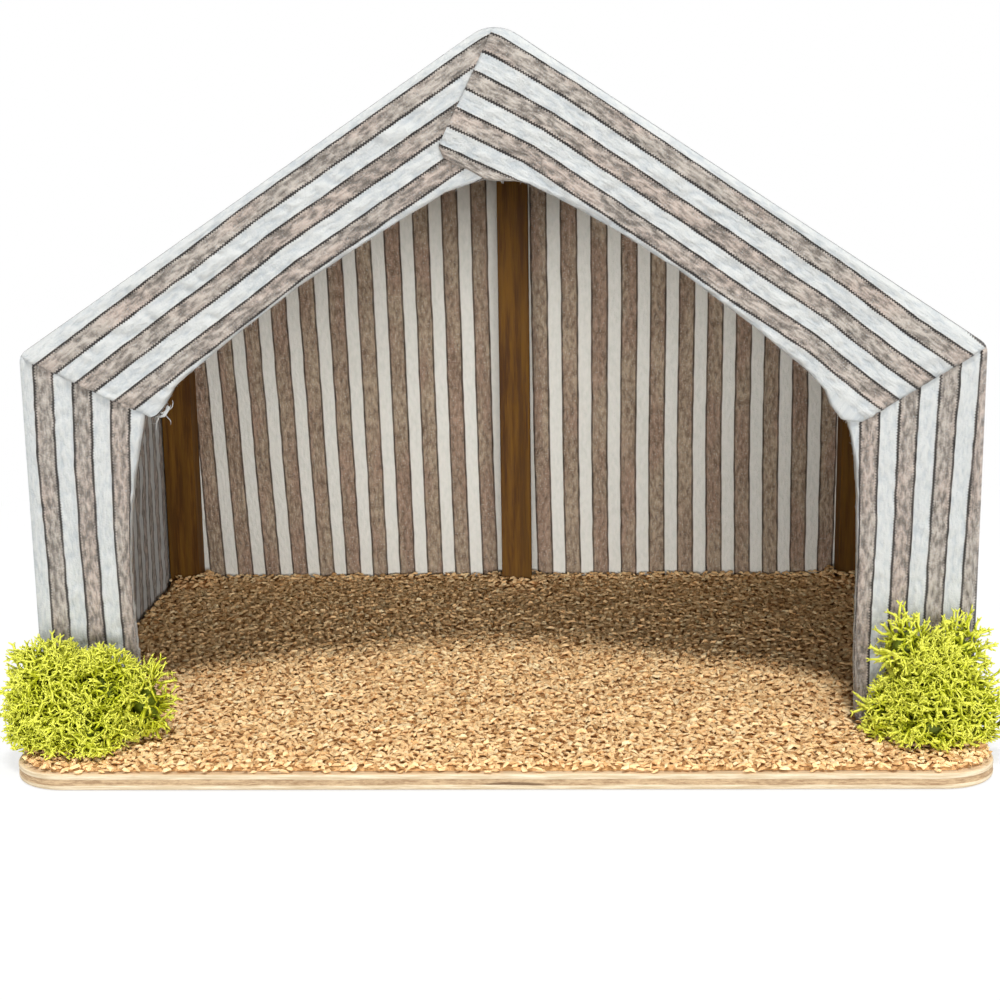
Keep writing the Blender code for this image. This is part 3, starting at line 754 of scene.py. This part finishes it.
class Threads:
    """Gathers loose threads into one mesh."""

    def __init__(self, seed):
        self.random = np.random.default_rng(seed)
        self.verts, self.faces, self.weave = [], [], []

    def add(self, points, radius):
        """A tapering thread through these points."""
        points = np.array(points)
        self.faces += tube_faces(len(self.verts), len(points))
        way = points[-1] - points[0]
        side = np.cross(way, (0.3, 1.0, 0.2))
        side /= np.linalg.norm(side)
        other = np.cross(way, side)
        other /= np.linalg.norm(other)
        for k, p in enumerate(points):
            self.verts += ring(p, side, other, radius * (1 - 0.6 * k / (len(points) - 1)))
            for _ in range(3):
                self.weave.append((0.0, TAUPE + WHITE / 2, self.random.uniform(-1, 1)))

    def fuzz(self, line):
        """Short fibres that stand out from a hem line into the opening."""
        rng = self.random
        for share in rng.uniform(0.01, 0.99, int(poly_length(line)[-1] / FUZZ_PITCH)):
            a, b = resample(line, [share, min(share + 0.01, 1)])
            along = (b - a) / max(np.linalg.norm(b - a), 1e-6)
            out = np.array([along[1], -along[0]])
            if np.dot(out, np.array([0, 0.07]) - a) < 0:
                out = -out
            long = rng.uniform(0.35, 1.25) * MM
            lean = along * rng.uniform(-0.9, 0.9)
            base = np.array([a[0], TENT_FRONT + rng.uniform(0.0002, 0.0009), a[1]])
            base[[0, 2]] -= out * 0.0004
            points = [base]
            for step in (0.5, 1.0):
                move = (out + lean * step) * long * step
                points.append(base + [move[0], rng.uniform(-0.3, 0.3) * long, move[1]])
            self.add(points, rng.uniform(0.04, 0.075) * MM)


def make_threads(material):
    """Fuzz along the cut hems, and the frayed ends at the left inner corner."""
    threads = Threads(17)
    rng = threads.random
    for band in BANDS:
        threads.fuzz(hem_line(band))
    for wide in np.linspace(0, 1.6, 9):
        threads.add((SCRAP + wide * SCRAP_STEP) * MM, 0.16 * MM)
    threads.add(SCRAP_THREAD * MM, 0.20 * MM)
    for _ in range(4):
        turn = rng.uniform(-2.4, -0.1)
        start = [rng.uniform(-1.2, 0.6), rng.uniform(-0.4, 0.6), rng.uniform(-0.4, 1.6)]
        points = [FRAY + np.array(start) * MM]
        for _ in range(6):
            turn += rng.uniform(-0.75, 0.75)
            step = np.array([math.cos(turn), rng.uniform(-0.35, 0.2), math.sin(turn)])
            points.append(points[-1] + step * 0.85 * MM)
        threads.add(points, rng.uniform(0.09, 0.16) * MM)
    weave = np.array(threads.weave)
    return new_object("hem_threads", threads.verts, threads.faces, material, weave=weave)


# The rear panel's distance inside the outline, and its thickness
PANEL_INSET, PANEL_CLOTH = 0.0018, 0.0008
# The rear panel's stripes: widths in the weave, real repeat, and the first one's place, in mm
REAR_STRIPES = (6.65, 4.95)
REAR_REPEAT, REAR_SHIFT = 11.95, 32.5


def make_panel(material):
    """The rear panel: striped cloth hung behind the rear posts."""
    half = HALF_TENT - PANEL_INSET
    middle = TENT_REAR - LINING - CLOTH / 2
    columns = np.linspace(-half, half, 161)
    x = columns / MM
    top = RIDGE_Z - PANEL_INSET / COS - np.maximum(np.abs(columns), TIMBER / 2) * math.tan(ROOF)
    rows = Rows()
    last = None
    for share in np.linspace(0, 1, 64):
        z = FOOT + (top - FOOT) * share
        lean = 0.028 * np.clip(-x / 130, -0.4, 1) + 0.012
        wander = 0.9 * noise(51, x * 0.02, z / MM * 0.016)
        q = (x + lean * (z - 0.018) / MM + wander + REAR_SHIFT) * (sum(REAR_STRIPES) / REAR_REPEAT) + TAUPE
        dents_and_shade = noise(52, x * 0.30, z / MM * 0.12) * 0.10
        folds = noise(53, x * 0.05, z / MM * 0.02) * 0.14
        # The small dents also paint shade into the panel's colour, through the weave's third value
        row = rows.add(columns, middle + (dents_and_shade + folds) * MM, z, z / MM, q, dents_and_shade * 6)
        if last is not None:
            rows.join(row, last)
        last = row
    return rows.build("cloth_rear_panel", material, PANEL_CLOTH, 0)


# Board and litter


def rounded_rectangle(half_x, half_y, radius, steps=14):
    """Points round a rectangle with round corners, anticlockwise."""
    points = []
    for k, (sx, sy) in enumerate(((1, 1), (-1, 1), (-1, -1), (1, -1))):
        turn = np.linspace(0, math.pi / 2, steps) + k * math.pi / 2
        centre = np.array([sx * (half_x - radius), sy * (half_y - radius)])
        points.append(centre + radius * np.column_stack([np.cos(turn), np.sin(turn)]))
    return np.vstack(points)


def make_board(material):
    """Three-ply board: the edge is sanded round and the core ply stands back a little."""
    half_x, half_y = BOARD_WIDTH / 2, BOARD_DEPTH / 2
    profile = [
        (0.0008, 0.0), (0.0003, 0.00012), (0.00008, 0.0004), (0.0, 0.0008), (0.0, 0.0014),
        (0.00008, 0.0015), (0.0001, 0.0019), (0.0001, 0.0031), (0.00008, 0.0034), (0.0, 0.0035),
        (0.0, 0.0042), (0.00008, 0.0046), (0.0003, 0.00488), (0.0008, 0.005),
    ]
    ring = rounded_rectangle(half_x, half_y, CORNER_RADIUS)
    dense = []
    for a, b in zip(ring, np.roll(ring, -1, axis=0)):
        steps = max(1, int(np.linalg.norm(b - a) / 0.002))
        dense += [a + (b - a) * k / steps for k in range(steps)]
    dense = np.array(dense)
    around = poly_length(dense)
    ahead = np.roll(dense, -1, axis=0) - np.roll(dense, 1, axis=0)
    out = np.column_stack([ahead[:, 1], -ahead[:, 0]])
    out /= np.linalg.norm(out, axis=1)[:, None]
    verts = []
    for inset, z in profile:
        chipped = 0.00005 * np.abs(noise(61, around / MM * 0.4, z / MM * 2))
        at = dense - out * (inset + chipped)[:, None]
        verts.append(np.column_stack([at, np.full(len(dense), z)]))
    index = np.arange(len(profile) * len(dense)).reshape(len(profile), -1)
    closed = np.hstack([index, index[:, :1]])
    faces = grid_faces(closed[::-1])
    faces += [index[0].tolist()[::-1], index[-1].tolist()]
    return new_object("plywood_board", np.vstack(verts), faces, material, smooth=False)


# The wall bands' hems at the board: distances from the middle, left and right
HEM_LEFT, HEM_RIGHT = 0.1165, 0.1118


def litter_allowed(x, y, inset=0.0004):
    """True where litter lies: on the board, and clear of the cloth's feet and the posts."""
    ax = np.abs(x)
    inside = (ax < BOARD_WIDTH / 2 - inset) & (np.abs(y) < BOARD_DEPTH / 2 - inset)
    cx, cy = BOARD_WIDTH / 2 - CORNER_RADIUS, BOARD_DEPTH / 2 - CORNER_RADIUS
    corner = (ax > cx) & (np.abs(y) > cy)
    inside &= ~(corner & (np.hypot(ax - cx, np.abs(y) - cy) > CORNER_RADIUS - inset))
    hem_x = np.where(x < 0, HEM_LEFT, HEM_RIGHT)
    band = (ax > hem_x) & (y > TENT_FRONT - 0.0004) & (y < TENT_FRONT + 0.0016)
    hem = (ax > hem_x) & (ax < hem_x + 0.0022) & (y > TENT_FRONT - 0.0004) & (y < TENT_FRONT + 0.0058)
    wall = (ax > HALF_TENT - 0.0016) & (y > TENT_FRONT) & (y < TENT_REAR)
    post_y = ((y > TENT_FRONT + LINING - GAP) & (y < BAY_FRONT)) | ((y > BAY_REAR) & (y < TENT_REAR))
    post = post_y & ((ax > FRAME_HALF - TIMBER - GAP) | ((ax < TIMBER / 2 + GAP) & (y > 0)))
    panel = (y > TENT_REAR - 2 * LINING - 0.0002) & (y < TENT_REAR + GAP)
    return inside & ~(band | hem | wall | post | panel)


def heap(x, y):
    """Extra height of the litter: low mounds at the feet of the posts and of the cloth."""
    extra = np.zeros(len(x))
    for px, high in ((0.0, 0.0026), (-0.142, 0.0042), (0.142, 0.0042)):
        away = np.maximum(np.abs(x - px), np.abs(y - BAY_REAR - TIMBER / 2)) - TIMBER / 2
        extra = np.maximum(extra, high * (1 - ramp(away, 0.001, 0.008)))
    inside = y < TENT_REAR - 0.002
    extra = np.maximum(extra, 0.0012 * ramp(y, BAY_REAR + 0.004, BAY_REAR + TIMBER) * inside)
    inside &= y > TENT_FRONT + 0.002
    at_wall = ramp(np.abs(x), HALF_TENT - 0.006, HALF_TENT - 0.002)
    extra = np.maximum(extra, 0.0010 * at_wall * inside)
    return extra + noise(71, x / MM * 0.045, y / MM * 0.045) * 0.00022


BED_PITCH, CHIP_PITCH = 0.0019, 0.00165


def make_bed(name, front, rear, material):
    """The layer that the chips lie in, as a lumpy slab."""
    xs = np.arange(-BOARD_WIDTH / 2 + 0.0007, BOARD_WIDTH / 2, BED_PITCH)
    ys = np.arange(front, rear, BED_PITCH)
    grid = np.meshgrid(xs, ys)
    gx, gy = (a.ravel() for a in grid)
    keep = litter_allowed(gx, gy, 0.0017)
    lump = noise(72, gx / MM * 0.5, gy / MM * 0.5)
    z = BOARD_TOP + 0.0011 + lump * 0.00035 + heap(gx, gy) * 0.8
    number = -np.ones(len(gx), int)
    number[keep] = np.arange(keep.sum())
    quads = np.array(grid_faces(number.reshape(grid[0].shape).T))
    quads = quads[(quads >= 0).all(axis=1)]
    shape = bmesh.new()
    made = [shape.verts.new(p) for p in zip(gx[keep], gy[keep], z[keep])]
    for quad in quads.tolist():
        shape.faces.new([made[k] for k in quad])
    loose = [v for v in shape.verts if not v.link_faces]
    bmesh.ops.delete(shape, geom=loose, context="VERTS")
    rim = [e for e in shape.edges if e.is_boundary]
    drawn = bmesh.ops.extrude_edge_only(shape, edges=rim)["geom"]
    for v in drawn:
        if isinstance(v, bmesh.types.BMVert):
            v.co.z = BOARD_TOP + 0.00012
    return shape_object(name, shape, material)


def spun(a, b, angle):
    """Coordinates a and b of each chip's points, turned by its angle."""
    cos, sin = np.cos(angle)[:, None], np.sin(angle)[:, None]
    return a * cos - b * sin, a * sin + b * cos


CHIP_REACH = 0.00205


def make_chips(name, front, rear, seed, material):
    """Loose curved granules over a stretch of the board."""
    rng = np.random.default_rng(seed)
    xs = np.arange(-BOARD_WIDTH / 2, BOARD_WIDTH / 2, CHIP_PITCH)
    ys = np.arange(front, rear, CHIP_PITCH)
    gx, gy = (a.ravel() for a in np.meshgrid(xs, ys))
    x = gx + rng.uniform(-0.7, 0.7, len(gx)) * CHIP_PITCH
    y = gy + rng.uniform(-0.7, 0.7, len(gy)) * CHIP_PITCH
    yaw = rng.uniform(0, math.tau, len(x))
    length = rng.uniform(0.72, 1.0, len(x)) ** 2 * CHIP_REACH
    ok = litter_allowed(x, y)
    for end in (-1, -0.5, 0.5, 1):
        ok &= litter_allowed(x + end * np.cos(yaw) * length, y + end * np.sin(yaw) * length)
    x, y, yaw, length = x[ok], y[ok], yaw[ok], length[ok]
    count = len(x)
    bend = rng.uniform(-0.7, 0.7, count) * MM
    arch = rng.uniform(0.0, 0.45, count) * MM
    tilt = rng.normal(0, 0.20, count)
    roll = rng.normal(0, 0.6, count)
    # The chips lie lower along the board's edge
    rim = np.minimum(BOARD_WIDTH / 2 - np.abs(x), BOARD_DEPTH / 2 - np.abs(y))
    low = 0.75 * (1 - ramp(rim, 0.0008, 0.0030))
    z = BOARD_TOP + (1.2 - low + rng.uniform(0, 0.8, count)) * MM + heap(x, y)
    # A tip, two uneven rings of four points, and the other tip, in the chip's own frame
    lx, ly, lz = (np.zeros((count, 10)) for _ in range(3))
    lx[:, 0], lx[:, 9] = -length, length
    for ring, at in ((1, -0.42), (5, 0.42)):
        size = rng.uniform(0.50, 0.92, count) * MM
        for k in range(ring, ring + 4):
            turn = math.pi / 2 * (k - ring) + rng.uniform(-0.35, 0.35, count)
            reach = size * rng.uniform(0.75, 1.2, count)
            lx[:, k] = (at + rng.uniform(-0.15, 0.15, count)) * length
            ly[:, k] = bend + reach * np.cos(turn)
            lz[:, k] = arch + reach * np.sin(turn) * 0.62
    ly, lz = spun(ly, lz, roll)
    lz, lx = spun(lz, lx, tilt)
    lx, ly = spun(lx, ly, yaw)
    pz = np.maximum(z[:, None] + lz, BOARD_TOP + 0.0002)
    verts = np.stack([x[:, None] + lx, y[:, None] + ly, pz], -1).reshape(-1, 3)
    corners = [(0, 1 + (k + 1) % 4, 1 + k) for k in range(4)]
    corners += [(9, 5 + k, 5 + (k + 1) % 4) for k in range(4)]
    sides = [(1 + k, 1 + (k + 1) % 4, 5 + (k + 1) % 4, 5 + k) for k in range(4)]
    starts = 10 * np.arange(count)[:, None, None]
    faces = []
    for kind in (corners, sides):
        faces += (np.array(kind)[None] + starts).reshape(-1, len(kind[0])).tolist()
    tone = np.repeat(np.clip(rng.normal(0.5, 0.22, count), 0, 1), 10)
    return new_object(name, verts, faces, material, smooth=False, tone=tone)


# Moss


# Each clump is a few overlapping domes, as (centre, radii) in mm
CLUMPS = {
    "left_moss": [
        ((-138, -103, 18), (14.5, 14, 20)),
        ((-143, -100, 28), (10, 9, 10.5)),
        ((-129, -108, 12), (13, 11.5, 10)),
        ((-112.5, -97, 19), (8, 8, 12)),
        ((-124, -101, 23), (12, 11, 13)),
        ((-147, -103, 14), (7.5, 9, 10)),
    ],
    "right_moss": [
        ((134, -99, 19), (15, 12, 20)),
        ((125, -96, 35), (8.5, 7, 9.5)),
        ((141, -96, 33), (8.5, 7, 10.5)),
        ((145, -99, 15), (8.5, 9.5, 12)),
        ((120.5, -97, 14), (8, 8, 10)),
        ((132, -104, 12), (12, 8.5, 10)),
    ],
}
# Single branches that reach out of a clump, as (start, end) in mm
SHOOTS = {
    "left_moss": [
        ((-146, -104, 22), (-155.5, -105, 24.5)), ((-146, -104, 19), (-156.5, -104, 17)),
        ((-143, -101, 31), (-151.5, -103, 36)), ((-112, -98, 24), (-106.5, -99, 33)),
    ],
    "right_moss": [
        ((126, -95, 40), (124, -96, 48)), ((142, -95, 38), (144.5, -96, 46)),
        ((148, -97, 24), (155, -98, 29)),
    ],
}
MOSS_FLOOR = LITTER_TOP + 0.0003
MOSS_BACK = TENT_FRONT - 0.0018
# A branch's length in mm at each fork, and stems for each square mm of a dome
BRANCH = (4.4, 3.8, 3.0, 2.1)
STEMS = 0.085


def moss_depth(p, domes):
    """Share of the way out from the middle of the nearest dome; 1 is its surface."""
    shares = []
    for centre, radii in domes:
        shares.append(math.sqrt(sum(((a / MM - c) / r) ** 2 for a, c, r in zip(p, centre, radii))))
    return min(shares)


def moss_hold(p):
    """Keeps a point of the moss above the litter and in front of the cloth."""
    y = min(p.y, MOSS_BACK) if abs(p.x) < HALF_TENT + 0.0016 else p.y
    return Vector((p.x, y, max(p.z, MOSS_FLOOR)))


class Twigs:
    """Gathers forked twigs into one mesh."""

    def __init__(self, seed, domes):
        self.random = random.Random(seed)
        self.domes = domes
        self.verts, self.faces, self.tones = [], [], []

    def tube(self, points, radii, tones):
        """A three-sided tube through these points."""
        self.faces += tube_faces(len(self.verts), len(points))
        for k, (p, r) in enumerate(zip(points, radii)):
            way = (points[min(k + 1, len(points) - 1)] - points[max(k - 1, 0)]).normalized()
            side = way.orthogonal().normalized()
            self.verts += ring(p, side, way.cross(side), r)
            self.tones += [tones[k]] * 3

    def jitter(self, size):
        """A random vector, each part from -size to size."""
        return Vector([self.random.uniform(-size, size) for _ in range(3)])

    def tone(self, p, shade):
        """Paler further out and higher up: painted shade deep in the clump and painted light on its top.
        """
        out = moss_depth(p, self.domes)
        value = 0.12 + 0.66 * (out - 0.55) / 0.5 + 0.14 * (p.z / MM - 8) / 35 + shade
        return min(1, max(0, value))

    def forks(self, way, count, low, high):
        """Directions that lean out round way by angles from low to high."""
        rng = self.random
        side = way.orthogonal().normalized()
        side.rotate(Matrix.Rotation(rng.uniform(0, math.tau), 3, way))
        for k in range(count):
            out = side.copy()
            out.rotate(Matrix.Rotation(math.tau * k / count + rng.uniform(-0.4, 0.4), 3, way))
            yield (way + out * math.tan(math.radians(rng.uniform(low, high)))).normalized()

    def branch(self, p, way, level, width, shade):
        """A bent branch, and either its tips or the branches that it forks into."""
        rng = self.random
        length = BRANCH[level] * MM * rng.uniform(0.75, 1.3)
        bend = self.jitter(0.5)
        middle = moss_hold(p + way * length * 0.5)
        way = (way + bend).normalized()
        end = moss_hold(middle + way * length * 0.5)
        last = level == 3 or moss_depth(end, self.domes) > rng.uniform(0.92, 1.1)
        tones = [self.tone(q, shade) for q in (p, middle, end)]
        self.tube([p, middle, end], [width, width * 0.86, width * 0.8], tones)
        if last:
            for new in self.forks(way, rng.choice((2, 3)), 28, 62):
                tip = moss_hold(end + new * rng.uniform(0.8, 1.8) * MM)
                # The tips are painted paler still, as light on the outside of the clump
                paler = [tones[2], min(1, tones[2] + 0.12)]
                self.tube([end - way * width * 0.3, tip], [width * 0.72, width * 0.34], paler)
            return
        for new in self.forks(way, 3 if rng.random() < 0.25 else 2, 26, 60):
            if end.z < MOSS_FLOOR + 0.002:
                new.z = abs(new.z)
            self.branch(end - way * width * 0.5, new.normalized(), level + 1, width * 0.85, shade)


def grow_moss(name, seed, share, material):
    """A clump of forked twigs that starts inside the domes and ends just outside them."""
    domes = CLUMPS[name]
    twigs = Twigs(seed, domes)
    rng = twigs.random
    for centre, radii in domes:
        area = 4 * math.pi * ((radii[0] * radii[1] + radii[0] * radii[2] + radii[1] * radii[2]) / 3)
        for _ in range(int(area * STEMS * share)):
            way = Vector([rng.gauss(0, 1) for _ in range(3)]).normalized()
            deep = rng.choice((0.50, 0.62, 0.72, 0.8))
            p = Vector([(c + w * r * deep) * MM for c, w, r in zip(centre, way, radii)])
            if p.z < MOSS_FLOOR or p.y > MOSS_BACK or moss_depth(p, domes) < 0.5:
                continue
            out = Vector([w / r for w, r in zip(way, radii)]).normalized()
            start = (out + twigs.jitter(1.1) + Vector((0, -0.1, 0.2))).normalized()
            width = rng.uniform(0.48, 0.76) * MM
            twigs.branch(p, start, rng.choice((0, 0, 1)), width, rng.uniform(-0.12, 0.12))
    for start, end in SHOOTS[name]:
        start, end = Vector(start) * MM, Vector(end) * MM
        side = twigs.jitter(1.2 * MM)
        line = [start, start.lerp(end, 0.35) + side, start.lerp(end, 0.7) + side * 0.6, end]
        twigs.tube(line, [0.55 * MM, 0.5 * MM, 0.45 * MM, 0.4 * MM], [0.3, 0.45, 0.6, 0.7])
        for p, way in ((line[2], end - line[1]), (end, end - line[2])):
            for new in twigs.forks(way.normalized(), 2, 25, 50):
                tip = p + new * rng.uniform(1.6, 3.0) * MM
                twigs.tube([p, tip], [0.36 * MM, 0.2 * MM], [0.6, 0.8])
    return new_object(name + "_twigs", twigs.verts, twigs.faces, material, tone=twigs.tones)


def moss_heart(name, seed, material):
    """The dense middle of a clump, given the darkest moss colour as painted shade."""
    shape = bmesh.new()
    for k, (centre, radii) in enumerate(CLUMPS[name]):
        made = bmesh.ops.create_icosphere(shape, subdivisions=3, radius=1.0)["verts"]
        co = np.array([v.co[:] for v in made])
        broad, fine = noise(seed + k, *(co * 3.2).T), noise(seed + k + 20, *(co * 8).T)
        bump = 0.50 + 0.11 * broad + 0.10 * fine
        at = (np.array(centre) + co * bump[:, None] * np.array(radii)) * MM
        for v, p in zip(made, at):
            v.co = moss_hold(Vector(p))
    # Tone 0 gives the heart the darkest moss colour: painted shade
    return shape_object(name + "_heart", shape, material, tone=np.zeros(len(shape.verts)))


# Light, floor and camera


# Each lamp is (name, place, target, width, depth, power)
LAMPS = [
    ("key", (0.10, -0.98, 1.85), (0, -0.05, 0.05), 0.26, 0.26, 25),
    ("top", (0, -0.5, 2.5), (0, -0.05, 0.05), 1.4, 1.4, 10),
    ("front", (0.1, -4.0, 0.30), (0, 0, 0.12), 4.2, 0.5, 131),
    ("front_right", (2.4, -2.4, 0.5), (0, 0, 0.1), 1.0, 0.7, 22),
    ("left", (-3.1, 0.5, 0.85), (0, 0, 0.12), 1.2, 0.9, 40),
    ("right", (3.1, 0.5, 0.85), (0, 0, 0.12), 1.2, 0.9, 40),
    ("rear", (0, 3.1, 0.85), (0, 0, 0.12), 1.2, 0.9, 44),
]


def make_world():
    """Soft light from all round; white where it is seen directly."""
    n = Nodes("studio", bpy.data.worlds)
    ambient = n.tree.nodes["Background"]
    ambient.inputs["Color"].default_value = (0.95, 0.97, 1.0, 1)
    ambient.inputs["Strength"].default_value = 0.16
    white = n.add("Background", Color=(1, 1, 1, 1), Strength=1.0)
    n.show(n.seen_directly(), ambient, white, "World Output")
    bpy.context.scene.world = n.owner


def make_floor():
    """A pale floor: it keeps the shadow near the object and turns white further out."""
    n = Nodes("studio_floor")
    seen = n.seen_directly()
    grey = n.mix(seen, (0.42, 0.42, 0.42), (0.97, 0.97, 0.97))
    material = n.finish(grey, 0.9, Specular_IOR_Level=0.1)
    reach = n.add("VectorMath", n.place())
    reach.operation = "LENGTH"
    share = n.times(seen, n.map(reach.outputs["Value"], 0.19, 0.42, 0.70, 1.0))
    n.show(share, n.tree.nodes["Principled BSDF"], n.add("Emission", Strength=1.0), "Material Output")
    shape = bmesh.new()
    bmesh.ops.create_grid(shape, x_segments=2, y_segments=2, size=3.0)
    floor = shape_object("studio_floor", shape, material, smooth=False)
    floor.location = (0, 0, -0.0002)


def make_lamps():
    """A key from above the front, a low lamp that reaches inside, and fills from the other sides."""
    for name, place, target, width, depth, power in LAMPS:
        data = bpy.data.lights.new(name, "AREA")
        data.shape = "RECTANGLE"
        data.size, data.size_y = width, depth
        data.energy = power
        lamp = bpy.data.objects.new(name, data)
        lamp.location = place
        lamp.rotation_euler = (Vector(target) - Vector(place)).to_track_quat("-Z", "Y").to_euler()
        bpy.context.scene.collection.objects.link(lamp)


def make_camera():
    """The camera stands a little right of the middle and looks slightly down."""
    yaw, pitch, roll = (math.radians(a) for a in (-2.08, 11.67, -0.85))
    level = math.cos(pitch)
    ahead = Vector((math.sin(yaw) * level, math.cos(yaw) * level, -math.sin(pitch)))
    right = Vector((math.cos(yaw), -math.sin(yaw), 0))
    up = right.cross(ahead)
    side = math.cos(roll) * right + math.sin(roll) * up
    top = -math.sin(roll) * right + math.cos(roll) * up
    data = bpy.data.cameras.new("camera")
    data.sensor_width = 36
    data.lens = 61.19
    camera = bpy.data.objects.new("camera", data)
    matrix = Matrix((side, top, -ahead)).transposed().to_4x4()
    matrix.translation = (0.01876, -0.60492, 0.18782)
    camera.matrix_world = matrix
    bpy.context.scene.collection.objects.link(camera)
    bpy.context.scene.camera = camera


# What carries the two sheets of cloth
# Screen colours of the yarns: light taupe, its dark flecks, warm taupe, white, and white in shade
COVER_COLOURS = [
    (0.715, 0.68, 0.64), (0.44, 0.41, 0.38), (0.73, 0.67, 0.625),
    (0.77, 0.775, 0.765), (0.68, 0.70, 0.71),
]
# Painted light: the rear panel's yarns are written much paler than the cover's, so that the same cloth, in
# shade inside the tent, looks as bright as the front
REAR_COLOURS_PAINTED_LIGHT = [
    (0.80, 0.72, 0.62), (0.50, 0.415, 0.34), (0.75, 0.635, 0.55),
    (0.99, 0.985, 0.955), (0.93, 0.935, 0.90),
]


def make_cloth():
    """Cover, rear panel and hem threads."""
    stripes = cloth_material("striped_cotton", (TAUPE, WHITE), (0.19, 0.36), 1.0, 0.5, COVER_COLOURS)
    rear = cloth_material("striped_cotton_rear_painted_light", REAR_STRIPES, (0.10, 0.22), 0.75, 0.6, REAR_COLOURS_PAINTED_LIGHT)
    cover = settle(make_cover(stripes), "striped_cloth", "tent_cover")
    panel = settle(make_panel(rear), "striped_cloth", "rear_panel")
    fuzz = settle(make_threads(stripes), "striped_cloth")


def stain_timber():
    """Stained wood on the posts, beams and rafters of the CAD model, with the grain along each."""
    upright = wood_material("stained_timber_upright", (420, 420, 26))
    lying = wood_material("stained_timber_beam", (420, 26, 420))
    slopes = {
        "left": wood_material("stained_timber_left_rafter", (26, 420, 420), (0, ROOF, 0)),
        "right": wood_material("stained_timber_right_rafter", (26, 420, 420), (0, -ROOF, 0)),
    }
    for name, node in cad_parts.items():
        if name.endswith("_post"):
            node.material_slots[0].material = upright
        elif name.endswith("_beam"):
            node.material_slots[0].material = lying
        elif name.endswith("_rafter"):
            node.material_slots[0].material = slopes["left" if "left" in name else "right"]


def make_ground():
    """The board, the litter's two beds and its chips."""
    settle(make_board(ply_material()), "birch_plywood", "base_board")
    bed, chips = bed_material(), chip_material()
    edge = BOARD_DEPTH / 2
    inner = make_bed("litter_bed", -edge + 0.0007, TENT_REAR - 2 * LINING, bed)
    settle(inner, "wood_litter", "ground_litter")
    outer = make_bed("litter_bed_rear", TENT_REAR + 0.0005, edge, bed)
    settle(outer, "wood_litter", "rear_litter")
    lines = [-edge, TENT_FRONT + 0.012, 0.02, TENT_REAR, edge]
    for seed, name in enumerate(("front", "middle", "back", "behind"), 1):
        piece = make_chips("litter_chips_" + name, lines[seed - 1], lines[seed], seed, chips)
        settle(piece, "wood_litter")


def make_moss():
    """Both clumps, each as twigs round a dense heart."""
    lime = moss_material()
    for seed, name in enumerate(CLUMPS, 5):
        settle(grow_moss(name, seed, 1.0, lime), "lime_moss", name)
        settle(moss_heart(name, seed, lime), "lime_moss")


def main():
    make_camera()
    make_world()
    make_floor()
    make_lamps()
    make_cloth()
    stain_timber()
    make_ground()
    make_moss()
    bpy.context.scene.view_settings.view_transform = "Standard"


main()
